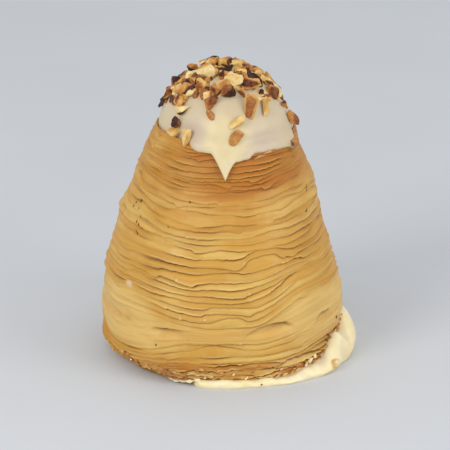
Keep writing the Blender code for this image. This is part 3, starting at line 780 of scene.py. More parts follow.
def makeCapCream():
    angles = columnAngles(cap["columns"], lambda a: 1 + 2.2 * (np.abs(a) < 22) + 0.4 * (np.abs(a) < 90))
    ripple = roundNoise(angles, 1, *cap["edgeWaves"], cap["seed"])[0]
    edge = capEdge(angles) + cap["edgeRipple"] * ripple * (1 - dripShape(angles))
    radius, z, nearEdge = capRings(angles, edge)
    grid = np.broadcast_to(angles, z.shape)
    radius = radius * rightSlope(grid, z - cap["base"])
    down = np.clip((cap["base"] + cap["rise"] - z) / cap["rise"], 0, 1.3)
    ridge = capRidge(grid, down)
    hollowLeft, hollowRight = [capHollow(grid, z, *hollow) for hollow in cap["hollows"]]
    wobble = lumps(toPoints(radius, grid, z), 9 * mm) + 0.5 * lumps(toPoints(radius, grid, z), 4 * mm)
    calm = smoothShare(down, 0.0, 0.15) * (1 - 0.6 * nearEdge)
    radius = radius + cap["ridge"] * ridge - cap["hollow"] * (hollowLeft + 0.7 * hollowRight)
    radius = radius + cap["waves"] * wobble * calm
    inside = insideRim(angles)
    shift = smoothShare(z, 70.2 * mm, 78 * mm)
    shift = cap["shift"] * (shift + (1 - shift) * inside)
    # Under its edge the cream turns in behind the rim.
    lastWall = unevenRadius(wallRadius(edge), angles, edge) - 0.5 * mm
    lastWall = lastWall + (cap["radius"] * 0.97 - lastWall) * inside
    back = np.minimum(wallRadius(edge) - 1.0 * mm, 20.0 * mm)
    radius = np.concatenate([radius, [lastWall, back, 12 * mm + 0 * angles]])
    behind = np.maximum(edge + 0.3 * mm, 70.8 * mm) * (1 - inside) + cap["underside"] * inside
    z = np.concatenate([z, [edge + 0.15 * mm * (1 - inside), behind, cap["underside"] + 0 * angles]])
    shift = np.concatenate([shift, shift[-1:], shift[-1:] * 0, shift[-1:] * 0])
    hidden = np.zeros((3, len(angles)))
    # These marks steer the cream's painted shade.
    marks = {
        "hollow": np.concatenate([hollowLeft + 0.8 * hollowRight, hidden]),
        "ridge": np.concatenate([ridge, hidden]),
    }
    piece = closedRings("creamCap", radius, angles, z, marks, shift)
    print("cream cap:", radius.size, "points")
    return piece


# Chopped nuts

nuts = {
    "seed": 5,
    "viewTilt": 18.6,
    "stackLimit": 1.6 * mm,
    "clearOfRim": -0.9 * mm,
    "top": 94.5 * mm,
    "sunk": 0.12,
    # Lengths and places of the nuts are in mm, and falls from the top of the dome in degrees.
    "backCount": 26,
    "backLength": (3.4, 6.2),
    "backFall": (8.0, 72.0),
    "facing": 0.55,
    "chipCount": 105,
    "chipLength": (1.8, 4.2),
    "chipDepth": 0.966,     # share of the dome, so that the chips lie lower than the larger nuts
    "chipRight": (-17.5, 15.0),
    "chipTop": 21.5,
    # The lowest rise of the chips at each place from left to right
    "chipsFrom": ((-18, 9), (-13, 8.5), (-8, 9.5), (-2, 10), (2, 12.5), (6, 9), (9, 6), (12, 8), (15, 10.5)),
    "crumbCount": 110,
    "crumbLength": (1.1, 3.0),
    # This nut at the back shows at the left edge of the front view, so it is small and dark.
    "shrunk": 24,
    "shrunkTo": 0.5,
    "shrunkLook": (0.1, 0.02, 0.9),
    "cuts": 9,
    "cutDepth": (0.19, 0.38),
    "finelyMadeFrom": 2.6 * mm,
    "sharpAngle": 28,
    # Nuts that the photo shows: right and rise in the front view, length and width in mm, thickness share,
    # turn, flesh tone, skin tone, skin share. Tones run from near-black skin (0) through red-brown (0.3),
    # orange (0.5) and golden (0.75) to pale (1).
    "inFront": (
        (-21.0, 9.2, 3.0, 2.4, 0.6, 20, 0.30, 0.02, 1.0),
        (-19.0, 11.4, 3.2, 2.4, 0.7, 20, 0.92, 0.80, 0.2),
        (-16.6, 14.5, 3.8, 3.6, 0.9, 70, 0.30, 0.12, 0.8),
        (-13.6, 14.8, 6.2, 2.2, 0.6, 55, 0.62, 0.30, 0.3),
        (-11.2, 18.8, 3.4, 2.6, 0.9, -15, 0.45, 0.10, 0.7),
        (-10.9, 16.3, 3.8, 3.4, 0.8, 20, 0.97, 0.70, 0.2),
        (-6.1, 17.6, 6.0, 4.8, 0.7, 15, 0.93, 0.55, 0.15),
        (-5.4, 20.8, 3.2, 2.4, 0.9, 60, 0.80, 0.60, 0.2),
        (-3.6, 20.8, 5.4, 2.0, 0.9, -25, 0.40, 0.04, 0.7),
        (-1.0, 20.5, 3.0, 2.4, 0.9, 0, 0.66, 0.55, 0.3),
        (-11.7, 12.3, 5.0, 3.2, 0.8, 15, 0.55, 0.18, 0.5),
        (-14.2, 8.6, 3.6, 3.4, 0.8, 60, 0.62, 0.25, 0.4),
        (-10.5, 10.8, 3.6, 2.2, 0.7, 30, 0.95, 0.80, 0.1),
        (-7.7, 13.2, 4.8, 3.4, 0.8, 80, 0.72, 0.30, 0.3),
        (-13.6, 5.8, 5.6, 3.2, 0.7, 3, 0.95, 0.03, 0.35),
        (-15.2, 1.6, 3.8, 2.6, 0.9, 60, 0.26, 0.04, 0.9),
        (-15.7, -0.8, 3.8, 3.2, 0.8, 40, 0.80, 0.58, 0.2),
        (-4.6, 7.9, 5.2, 4.2, 0.7, 80, 0.42, 0.24, 0.5),
        (-4.6, 4.2, 4.2, 2.2, 0.7, -65, 0.42, 0.10, 0.5),
        (2.6, 22.4, 4.0, 3.2, 0.9, 10, 0.80, 0.50, 0.3),
        (2.9, 20.2, 4.8, 3.4, 0.8, -30, 0.35, 0.06, 0.8),
        (5.7, 19.7, 3.6, 3.0, 0.9, -60, 0.60, 0.35, 0.4),
        (0.4, 17.9, 5.0, 3.6, 0.8, 15, 0.75, 0.02, 0.5),
        (2.3, 15.1, 6.0, 5.2, 0.6, 25, 0.86, 0.55, 0.15),
        (0.7, 11.1, 5.0, 4.6, 0.8, -50, 0.35, 0.12, 0.85),
        (8.8, 15.4, 5.8, 2.2, 0.8, -30, 0.30, 0.02, 0.9),
        (7.5, 13.2, 6.0, 3.8, 0.8, -20, 0.58, 0.15, 0.5),
        (10.0, 17.0, 3.0, 2.4, 0.8, 20, 0.80, 0.60, 0.2),
        (14.6, 11.4, 4.8, 4.0, 0.8, -40, 0.55, 0.25, 0.5),
        (18.4, 11.1, 3.0, 2.2, 0.8, -30, 0.92, 0.80, 0.1),
        (7.9, 6.1, 8.2, 5.6, 0.6, -70, 0.66, 0.34, 0.4),
        (12.2, 6.0, 5.8, 2.4, 0.7, 80, 0.74, 0.60, 0.3),
        (3.6, 1.7, 6.4, 2.5, 0.9, 36, 0.84, 0.62, 0.2),
        (20.5, 3.3, 5.2, 3.6, 0.8, -65, 0.50, 0.22, 0.6),
        (-12.2, -4.0, 6.2, 2.9, 0.7, 72, 0.82, 0.58, 0.15),
        (2.8, -3.1, 5.8, 3.3, 0.6, 50, 0.54, 0.45, 0.4),
    ),
}


def viewWays():
    # Towards the viewer of the front view, and upward in that view.
    tilt = math.radians(nuts["viewTilt"])
    return Vector((0.0, -math.cos(tilt), math.sin(tilt))), Vector((0.0, math.sin(tilt), math.cos(tilt)))


def seenOnDome(right, rise):
    # The point of the dome that the front view shows this far right of and above its centre.
    viewer, upward = viewWays()
    sizes = (cap["radius"], cap["radius"], cap["rise"])

    def squeezed(v):
        return Vector(a / b for a, b in zip(v, sizes))

    towards = squeezed(viewer)
    for shrink in range(100):
        keep = 1 - 0.01 * shrink
        start = squeezed(Vector((right * keep, 0.0, 0.0)) + upward * rise * keep)
        a, b, c = towards.dot(towards), 2 * start.dot(towards), start.dot(start) - 1
        inside = b * b - 4 * a * c
        if inside >= 0:
            break
    flat = start + towards * (-b + math.sqrt(inside)) / (2 * a)
    raised = min(nuts["stackLimit"], rise * (1 - keep))
    return Vector(s * v for s, v in zip(sizes, flat)) + upward * raised


def slopeAt(point):
    return float(rightSlope(math.degrees(math.atan2(point.x, -point.y)), point.z))


def seenOnSlope(right, rise):
    point = seenOnDome(right, rise)
    for _ in range(3):
        point = seenOnDome(right / slopeAt(point), rise)
    share = slopeAt(point)
    return Vector((point.x * share, point.y * share, point.z))


def onDome(fall, azimuth):
    turn = math.radians(azimuth)
    rise = cap["rise"] * math.cos(fall)
    side = cap["radius"] * math.sin(fall) * float(rightSlope(azimuth, rise))
    return Vector((side * math.sin(turn), -side * math.cos(turn), rise))


def frontNuts():
    places = []
    for right, rise, length, width, *look in nuts["inFront"]:
        point = seenOnSlope(right * mm, rise * mm)
        places.append((point, length * mm, width * mm, *look, nuts["facing"]))
    return places


def chips(draw):
    # Small chips that fill the space between the larger nuts at the front.
    places = []
    for _ in range(nuts["chipCount"]):
        right = draw.uniform(*nuts["chipRight"])
        lowest = np.interp(right, *zip(*nuts["chipsFrom"]))
        highest = nuts["chipTop"] * math.sqrt(max(0.0, 1 - (right / 20) ** 2))
        if lowest > highest:
            continue
        rise = draw.uniform(lowest, highest)
        length = draw.uniform(*nuts["chipLength"])
        width = length * draw.uniform(0.5, 0.9)
        turn = draw.uniform(0, 180)
        point = seenOnSlope(right * mm, rise * mm) * nuts["chipDepth"]
        places.append((point, length * mm, width * mm, 0.8, turn, *nutTones(draw), nuts["facing"]))
    return places


def backNuts(draw, tones):
    places = []
    low, high = nuts["backFall"]
    for i in range(nuts["backCount"]):
        share = (i + 0.5) / nuts["backCount"]
        fall = math.radians(low + (high - low) * share ** 1.15)
        azimuth = 180 + 95 * math.sin(i * 2.4) + draw.uniform(-8, 8)
        length = draw.uniform(*nuts["backLength"]) * mm
        width = length * draw.uniform(0.55, 0.85)
        turn = draw.uniform(0, 180)
        look = nutTones(tones)
        if i == nuts["shrunk"]:
            length, width, look = nuts["shrunkTo"] * length, nuts["shrunkTo"] * width, nuts["shrunkLook"]
        places.append((onDome(fall, azimuth), length, width, 0.75, turn, *look, 0.0))
    return places


def nutCrumbs(draw):
    # Crumbs all over the top and down the back, which leave the smooth front of the cream free.
    places = []
    for i in range(nuts["crumbCount"]):
        fall = math.radians(4 + 66 * ((i + 0.5) / nuts["crumbCount"]) ** 0.8)
        azimuth = (i * 137.5) % 360 + draw.uniform(-10, 10)
        if abs(turnFrom(azimuth, 0)) < 75 and fall > math.radians(30):
            continue
        length = draw.uniform(*nuts["crumbLength"]) * mm
        width = length * draw.uniform(0.5, 0.9)
        places.append((onDome(fall, azimuth), length, width, 0.8, draw.uniform(0, 180), *nutTones(draw), 0.0))
    return places


def nutPlaces():
    # Every nut: place on the dome, length, width, thickness share, turn, tones, how far it faces the viewer
    tones = random.Random(nuts["seed"] + 1)
    return frontNuts() + chips(tones) + backNuts(random.Random(nuts["seed"]), tones) + nutCrumbs(tones)


def nutTones(draw):
    flesh = draw.choice((0.36, 0.52, 0.64, 0.74, 0.8, 0.92))
    skin = draw.choice((0.02, 0.1, 0.2, 0.3, 0.5))
    return flesh, skin, draw.choice((0.1, 0.2, 0.35, 0.5))


def chippedNut(draw, detail):
    # A ball cut flat by random planes, as a knife leaves it, stretched to fill a box one unit on a side.
    form = bmesh.new()
    bmesh.ops.create_icosphere(form, subdivisions=detail, radius=0.5)
    points = np.array([v.co for v in form.verts])
    faces = [[v.index for v in f.verts] for f in form.faces]
    form.free()
    for _ in range(nuts["cuts"]):
        normal = np.array([draw.gauss(0, 1) for _ in range(3)])
        normal /= np.linalg.norm(normal)
        past = np.clip(points @ normal - draw.uniform(*nuts["cutDepth"]), 0, None)
        points -= past[:, None] * normal
    points -= (points.max(0) + points.min(0)) / 2
    return points / (points.max(0) - points.min(0)), faces


def nutAxes(draw, outward, upward, turn):
    # Length, width and thickness directions of a nut, tipped a little at random.
    turn = math.radians(turn)
    seen = Vector((math.cos(turn), 0.0, 0.0)) + upward * math.sin(turn)
    along = (seen - outward * seen.dot(outward)).normalized()
    along = (along + outward * draw.uniform(-0.3, 0.3)).normalized()
    side = outward.cross(along).normalized()
    side = (side + outward * draw.uniform(-0.3, 0.3)).normalized()
    return np.array([along, side, along.cross(side)])


def nutForm(draw, number, length, width):
    # Slivers bend, and every nut has its own rough skin.
    points, faces = chippedNut(draw, 3 if length > nuts["finelyMadeFrom"] else 2)
    bend = draw.uniform(-0.5, 0.5) if length > 1.9 * width else draw.uniform(-0.12, 0.12)
    points[:, 2] += bend * (points[:, 0] ** 2 - 0.08)
    fine = lumps(points + number, 0.5) * 0.08 + lumps(points - number, 0.17) * 0.06
    return points * (1 + fine[:, None]), faces


def skinMask(draw, points, share):
    # 1 on the side of the nut that still has its skin.
    way = np.array([draw.gauss(0, 0.5), draw.gauss(0, 0.8), 1.0 if draw.random() < 0.7 else -0.6])
    height = points @ (way / np.linalg.norm(way))
    limit = np.quantile(height, 1 - 0.6 * share) if share < 1 else -9
    return smoothShare(height, limit - 0.03, limit + 0.03)


def makeNuts():
    draw = random.Random(nuts["seed"] + 2)
    viewer, upward = viewWays()
    slope = (cap["radius"] / cap["rise"]) ** 2
    allPoints, allFaces, tones, skins = [], [], [], []
    start = 0
    for number, nut in enumerate(nutPlaces()):
        point, length, width, thickShare, turn, flesh, skin, skinShare, facing = nut
        outward = Vector((point.x, point.y, point.z * slope)).normalized()
        lying = thickShare * width * (0.5 - nuts["sunk"])
        centre = point + Vector((cap["shift"], 0.0, cap["base"]))
        if facing:
            centre += viewer * min(lying * 1.4 / max(outward.dot(viewer), 0.3), 4 * mm)
        else:
            centre += outward * lying
        outward = (outward * (1 - facing) + viewer * facing).normalized()
        axes = nutAxes(draw, outward, upward, turn)
        points, faces = nutForm(draw, number, length, width)
        isSkin = skinMask(draw, points, skinShare)
        placed = (points * np.array([length, width, thickShare * width])) @ axes + np.array(centre)
        lift = max(0.0, bell["rimHeight"] + nuts["clearOfRim"] - placed[:, 2].min())
        placed[:, 2] += lift - max(0.0, placed[:, 2].max() + lift - nuts["top"])
        allPoints.append(placed)
        allFaces += [[v + start for v in f] for f in faces]
        start += len(placed)
        tones.append(flesh + (skin - flesh) * isSkin + 0.10 * lumps(points * 3 + number, 0.8))
        skins.append(isSkin)
    marks = {"tone": np.concatenate(tones), "skin": np.concatenate(skins)}
    piece = makePiece("choppedNuts", np.concatenate(allPoints), allFaces, marks)
    piece.data.set_sharp_from_angle(angle=math.radians(nuts["sharpAngle"]))
    print("chopped nuts:", len(tones), "pieces,", len(allFaces), "faces")
    return piece


# Filling at the foot

filling = {
    "radius": 27.0 * mm,
    "height": 2.4 * mm,
    "from": -11.0,
    "to": 134.0,
    "fade": 14.0,
    # How far it spreads from the bell's axis: azimuth, radius in mm
    "reaches": (
        (-40, 31.0),
        (-23, 34.4),
        (-13, 35.9),
        (-5, 36.7),
        (11, 36.7),
        (22, 37.7),
        (34, 38.7),
        (42, 39.8),
        (51, 41.4),
        (63, 41.5),
        (90, 42.0),
        (110, 41.3),
        (128, 39.0),
        (150, 36.0),
    ),
    # Where it climbs the bell's side: first and last azimuth of the climb, height
    "climbs": ((28.0, 50.0, 1.6 * mm), (48.0, 84.0, 7.4 * mm)),
    "columns": 300,
    "folds": 0.35 * mm,
    "seed": 61,
    "topWaves": (9, 40, 0.7, 0),
    "topRipple": 0.10,
    "edgeWaves": (6, 30, 0.8, 0),
    "edgeRipple": 0.22 * mm,
}


def spreadShare(azimuth):
    start, end, fade = filling["from"], filling["to"], filling["fade"]
    return plateau(azimuth, start - fade, start, end, end + fade)


def spreadRadius(azimuth):
    reach = smoothTable(azimuth, filling["reaches"], filling["radius"] / mm) * mm
    reach = reach + 0.2 * mm * np.sin(np.radians(9 * azimuth + 70))
    return filling["radius"] + (reach - filling["radius"]) * spreadShare(azimuth)


def spreadHeight(azimuth):
    climb = sum(rise * smoothShare(azimuth, start, end) for start, end, rise in filling["climbs"])
    fadeFrom = filling["to"] - 2 * filling["fade"]
    return filling["height"] + climb * (1 - smoothShare(azimuth, fadeFrom, filling["to"]))


def makeFilling():
    first, last = filling["reaches"][0][0], filling["to"] + 6
    angles = columnAngles(filling["columns"], lambda a: 1 + 1.6 * ((a > first) & (a < last)))
    reach, top, out = spreadRadius(angles), spreadHeight(angles), spreadShare(angles)
    topRipple = roundNoise(angles, 1, *filling["topWaves"], filling["seed"])[0]
    edgeRipple = roundNoise(angles, 1, *filling["edgeWaves"], filling["seed"] + 1)[0]
    top = top * (1 + filling["topRipple"] * topRipple * out)
    reach = reach + filling["edgeRipple"] * edgeRipple * out
    radius, z, rim = [], [], []
    inner = np.minimum(wallRadius(top) - 1.2 * mm, reach - 0.4 * mm)
    for share in (0.3, 0.6, 0.85, 1.0):
        radius.append(inner * share)
        z.append(top + 0 * angles)
        rim.append(0 * angles)
    # From the top over the rounded edge, and a little back in under it
    for t in np.linspace(0, 1, 22)[1:]:
        angle = t * math.pi / 2 * 1.32
        bulge = math.sin(min(angle, math.pi / 2)) - 0.12 * max(0.0, t - 0.76) / 0.24
        height = 0.25 + 0.75 * math.cos(angle) if angle < math.pi / 2 else 0.25 * (1 - (t - 0.758) / 0.242)
        radius.append(inner + (reach - inner) * bulge)
        z.append(top * max(0.0, height))
        rim.append(t + 0 * angles)
    radius, z, rim = np.array(radius), np.array(z), np.array(rim)
    grid = np.broadcast_to(angles, z.shape)
    folds = lumps(toPoints(radius, grid, z), 5 * mm) + 0.5 * lumps(toPoints(radius, grid, z), 2.2 * mm)
    body = np.clip(np.sin(np.pi * np.clip(rim, 0, 1) * 0.95), 0, 1) * out
    radius = radius + filling["folds"] * folds * body
    z = z + 0.5 * filling["folds"] * folds * body * (z > 0.4 * mm)
    radius = np.concatenate([radius, [12 * mm + 0 * angles]])
    z = np.concatenate([np.maximum(z, 0), [0 * angles]])
    # The hollow mark steers painted shade in the folds.
    marks = {"hollow": np.concatenate([np.clip(-folds, 0, 1), [0 * angles]])}
    piece = closedRings("fillingFoot", radius, angles, z, marks)
    print("filling:", radius.size, "points")
    return piece


# Flakes and crumbs at the foot

crumbs = {
    "seed": 71,
    "flakeCount": 70,
    "flakeLength": (0.7, 2.2),     # mm
    "flakeThickness": 0.22 * mm,
    "corners": 9,
    # Bits that the photo shows: azimuth, then height, how far out of the bell's wall, length, width and
    # thickness in mm, turn, tone
    "placed": (
        (58.0, 2.5, 5.1, 3.2, 3.0, 2.6, 10, 0.86),
        (19.0, 1.0, 3.1, 0.8, 0.6, 0.5, 0, 0.0),
        (-53.0, 4.9, 0.1, 4.2, 1.8, 1.1, -24, 0.30),
        (-48.0, 4.0, 0.1, 3.6, 1.5, 1.0, -18, 0.22),
        (-44.0, 3.4, 0.0, 2.6, 1.2, 0.8, -15, 0.34),
        (-30.0, 4.6, 0.2, 3.0, 2.0, 1.2, -30, 0.32),
        (-26.5, 3.6, 0.2, 3.2, 1.6, 1.1, -10, 0.24),
        (-21.5, 3.1, 0.1, 3.0, 1.0, 0.8, -5, 0.36),
        (-28.0, 1.2, 0.2, 2.6, 1.1, 0.9, -8, 1.0),
        (-24.0, 0.9, 0.5, 2.8, 1.0, 0.9, -5, 0.97),
        (-20.0, 1.4, 0.3, 3.0, 1.2, 0.9, 5, 1.0),
        (-16.0, 1.8, 0.4, 3.2, 1.4, 0.9, 8, 0.98),
        (-12.5, 2.4, 0.3, 2.2, 1.2, 0.8, 20, 0.95),
        (46.0, 5.4, 0.4, 2.2, 1.4, 1.0, 20, 1.0),
        (43.5, 4.6, 0.5, 1.8, 1.2, 0.9, 50, 0.97),
        (49.0, 6.2, 0.4, 1.6, 1.1, 0.8, 70, 0.98),
        (27.0, 2.9, 0.6, 2.0, 0.9, 0.7, 10, 0.62),
        (31.0, 3.3, 0.6, 2.4, 1.0, 0.8, 15, 0.70),
        (34.5, 3.5, 0.7, 1.6, 1.0, 0.7, 30, 0.55),
        (38.0, 3.9, 0.6, 2.2, 0.9, 0.7, 20, 0.78),
        # The next five small bits of tone 1 are painted glints: pale specks that stand in for highlights.
        (-8.5, 3.4, 0.3, 0.9, 0.6, 0.5, 80, 1.0),
        (5.5, 4.6, 0.3, 0.9, 0.6, 0.5, 60, 1.0),
        (12.0, 3.0, 0.3, 1.7, 0.5, 0.5, 55, 1.0),
        (-49.0, 5.0, 0.9, 0.9, 0.6, 0.5, 30, 1.0),
        (-8.5, 22.6, 0.3, 0.7, 0.5, 0.4, 80, 1.0),
        (28.0, 70.0, 0.9, 4.2, 0.8, 0.5, 12, 0.45),
        (36.0, 70.8, 0.9, 3.2, 0.6, 0.5, 6, 0.55),
        (-67.0, 73.4, 0.3, 3.6, 1.8, 0.7, -50, 0.42),
    ),
}
# A curl of torn pastry on the right of the rim
rimCurl = {
    "azimuth": 64.5,
    "startAngle": -60,
    "radius": 23.8 * mm,
    "height": 70.7 * mm,
    "rolls": (1.5 * mm, 0.8 * mm),
    "turn": 400.0,
    "length": 2.6 * mm,
    "thickness": 0.32 * mm,
    "steps": 22,
}


def addBit(store, draw, azimuth, z, out, length, width, thickness, turn, tone):
    outward, tangent = waysAt(azimuth)
    turn = math.radians(turn)
    along = tangent * math.cos(turn) + up * math.sin(turn)
    axes = np.array([along, outward.cross(along), outward])
    points, faces = chippedNut(draw, 2)
    centre = outward * (wallAt(azimuth, z * mm) + out * mm) + up * z * mm
    placed = (points * np.array([length, width, thickness]) * mm) @ axes + np.array(centre)
    placed[:, 2] = np.maximum(placed[:, 2], 0.05 * mm)
    start = len(store["points"])
    store["points"] += [tuple(p) for p in placed]
    store["faces"] += [[v + start for v in f] for f in faces]
    store["tone"] += [tone] * len(placed)


def addCurl(store):
    # A strip with some thickness, rolled up in steps round a line along the rim.
    outward, tangent = waysAt(rimCurl["azimuth"])
    centre = outward * rimCurl["radius"] + up * rimCurl["height"]
    start = len(store["points"])
    first, last = rimCurl["rolls"]
    steps = rimCurl["steps"]
    for k in range(steps):
        share = k / (steps - 1)
        angle = math.radians(rimCurl["startAngle"] + rimCurl["turn"] * share)
        way = outward * math.cos(angle) + up * math.sin(angle)
        for end in (-0.5, 0.5):
            torn = end * (1 + 0.12 * math.sin(3.1 * k + 5 * end)) * rimCurl["length"]
            for skin in (0.5, -0.5):
                roll = first + (last - first) * share + skin * rimCurl["thickness"]
                store["points"].append(centre + way * roll + tangent * torn)
                store["tone"].append(0.24 + 0.4 * share)
    for k in range(steps - 1):
        a, b = start + 4 * k, start + 4 * (k + 1)
        for one, other in ((0, 2), (2, 3), (3, 1), (1, 0)):
            store["faces"].append([a + one, a + other, b + other, b + one])
    end = start + 4 * (steps - 1)
    store["faces"].append([start, start + 1, start + 3, start + 2])
    store["faces"].append([end, end + 2, end + 3, end + 1])


def addFlake(store, centre, outward, along, length, width, draw, tone):
    # A thin, bent, torn flake: two close skins of a small irregular fan.
    side = outward.cross(along).normalized()
    n = crumbs["corners"]
    curl = draw.uniform(-0.25, 0.4)
    start = len(store["points"])
    ring = [(0.0, 0.0)]
    for k in range(n):
        turn = 2 * math.pi * k / n
        reach = draw.uniform(0.72, 1.1) / 2
        ring.append((reach * math.cos(turn), reach * math.sin(turn)))
    for lift in (0.5, -0.5):
        for a, b in ring:
            bend = curl * (a * a + b * b) * length * 2 + lift * crumbs["flakeThickness"]
            store["points"].append(centre + along * a * length + side * b * width + outward * bend)
            store["tone"].append(tone)
    back = start + n + 1
    for k in range(n):
        a, b = 1 + k, 1 + (k + 1) % n
        store["faces"].append([start, start + a, start + b])
        store["faces"].append([back, back + b, back + a])
        store["faces"].append([start + a, back + a, back + b, start + b])


def makeFlakes():
    draw = random.Random(crumbs["seed"])
    store = {"points": [], "faces": [], "tone": []}
    for i in range(crumbs["flakeCount"]):
        azimuth = draw.uniform(-180, 180) if i % 3 else draw.uniform(-75, 75)
        z = draw.uniform(1.6, 6.5) * mm
        if -20 < azimuth < 125:
            z = max(z, float(spreadHeight(np.array(azimuth))) + draw.uniform(-0.6, 1.2) * mm)
        level, tangent = waysAt(azimuth)
        outward = (level + up * draw.uniform(-0.3, 0.5)).normalized()
        tangent = tangent + up * draw.uniform(-0.25, 0.25)
        along = (tangent - outward * tangent.dot(outward)).normalized()
        centre = level * wallAt(azimuth, z) + up * z + outward * 0.12 * mm
        length = draw.uniform(*crumbs["flakeLength"]) * mm
        width = length * draw.uniform(0.25, 0.6)
        addFlake(store, centre, outward, along, length, width, draw, draw.uniform(0.2, 0.85))
    for bit in crumbs["placed"]:
        addBit(store, draw, *bit)
    addCurl(store)
    piece = makePiece("pastryFlakes", store["points"], store["faces"], {"tone": store["tone"]}, smooth=False)
    print("flakes:", crumbs["flakeCount"], "and", len(crumbs["placed"]), "larger bits")
    return piece


# Materials

class Nodes:
    # Short calls for the nodes of one tree.

    def __init__(self, tree):
        self.tree = tree

    def feed(self, socket, value):
        if isinstance(value, bpy.types.NodeSocket):
            self.tree.links.new(value, socket)
        elif value is not None:
            socket.default_value = value

    def add(self, kind, inputs, **settings):
        # The settings come first, because some of them change which inputs a node has.
        node = self.tree.nodes.new(kind)
        for name, setting in settings.items():
            setattr(node, name, setting)
        for place, value in inputs.items():
            self.feed(node.inputs[place], value)
        return node

    def calc(self, operation, a, b, c=None, clamp=False):
        node = self.add("ShaderNodeMath", {0: a, 1: b, 2: c}, operation=operation, use_clamp=clamp)
        return node.outputs[0]

    def times(self, a, b, clamp=False):
        return self.calc("MULTIPLY", a, b, clamp=clamp)

    def plus(self, a, b, clamp=False):
        return self.calc("ADD", a, b, clamp=clamp)

    def grain(self, place, size, detail):
        inputs = {"Vector": place, "Scale": size, "Detail": detail}
        return self.add("ShaderNodeTexNoise", inputs).outputs["Fac"]

    def span(self, value, low, high, to=(0.0, 1.0)):
        inputs = {"Value": value, "From Min": low, "From Max": high, "To Min": to[0], "To Max": to[1]}
        return self.add("ShaderNodeMapRange", inputs, interpolation_type="SMOOTHSTEP").outputs["Result"]

    def blend(self, share, a, b):
        # Inputs 6 and 7 and output 2 are the colours of a Mix node.
        return self.add("ShaderNodeMix", {"Factor": share, 6: a, 7: b}, data_type="RGBA").outputs[2]

    def bump(self, height, distance, strength):
        inputs = {"Height": height, "Distance": distance, "Strength": strength}
        return self.add("ShaderNodeBump", inputs).outputs["Normal"]

    def ramp(self, value, stops):
        node = self.add("ShaderNodeValToRGB", {"Fac": value})
        elements = node.color_ramp.elements
        while len(elements) < len(stops):
            elements.new(0.5)
        for element, (place, colour) in zip(elements, stops):
            element.position = place
            element.color = colour
        return node.outputs["Color"]


def newGroup(name, inputs):
    # A group with named inputs, which puts out one mask.
    group = bpy.data.node_groups.new(name, "ShaderNodeTree")
    group.interface.new_socket("Vector", in_out="INPUT", socket_type="NodeSocketVector")
    for label, value in inputs.items():
        socket = group.interface.new_socket(label, in_out="INPUT", socket_type="NodeSocketFloat")
        socket.default_value = value
    group.interface.new_socket("Mask", in_out="OUTPUT", socket_type="NodeSocketFloat")
    return Nodes(group), group.nodes.new("NodeGroupInput").outputs, group.nodes.new("NodeGroupOutput").inputs


def blotchGroup():
    # Two scales of soft noise, as a mask round 0.5.
    n, into, out = newGroup("blotches", {"Size": 60.0, "Fine": 260.0})
    big = n.grain(into["Vector"], into["Size"], 3.0)
    small = n.grain(into["Vector"], into["Fine"], 4.0)
    n.feed(out["Mask"], n.calc("MULTIPLY_ADD", small, 0.35, n.times(big, 0.65)))
    return n.tree


def streakGroup():
    # Fine lines that run round the bell: noise squeezed along the layers' own height.
    n, into, out = newGroup("layerStreaks", {"Level": 0.0, "Along": 70.0, "Across": 1500.0})
    split = n.add("ShaderNodeSeparateXYZ", {0: into["Vector"]}).outputs
    squeezed = {
        "X": n.times(split["X"], into["Along"]),
        "Y": n.times(split["Y"], into["Along"]),
        "Z": n.times(into["Level"], into["Across"]),
    }
    place = n.add("ShaderNodeCombineXYZ", squeezed).outputs[0]
    n.feed(out["Mask"], n.grain(place, 1.0, 3.0))
    return n.tree


blotches = blotchGroup()
layerStreaks = streakGroup()


class Finish(Nodes):
    # One material, with its Principled shader and the places on the piece.

    def __init__(self, name):
        self.material = bpy.data.materials.new(name)
        self.material.use_nodes = True
        super().__init__(self.material.node_tree)
        self.shader = self.tree.nodes["Principled BSDF"]
        self.place = self.tree.nodes.new("ShaderNodeTexCoord").outputs["Object"]

    def mark(self, name):
        return self.add("ShaderNodeAttribute", {}, attribute_name=name).outputs["Fac"]

    def blotchy(self, size, fine):
        inputs = {"Vector": self.place, "Size": size, "Fine": fine}
        return self.add("ShaderNodeGroup", inputs, node_tree=blotches).outputs[0]

    def streaky(self, level, along, across):
        inputs = {"Vector": self.place, "Level": level, "Along": along, "Across": across}
        return self.add("ShaderNodeGroup", inputs, node_tree=layerStreaks).outputs[0]

    def done(self, values):
        for label, value in values.items():
            self.feed(self.shader.inputs[label], value)
        return self.material


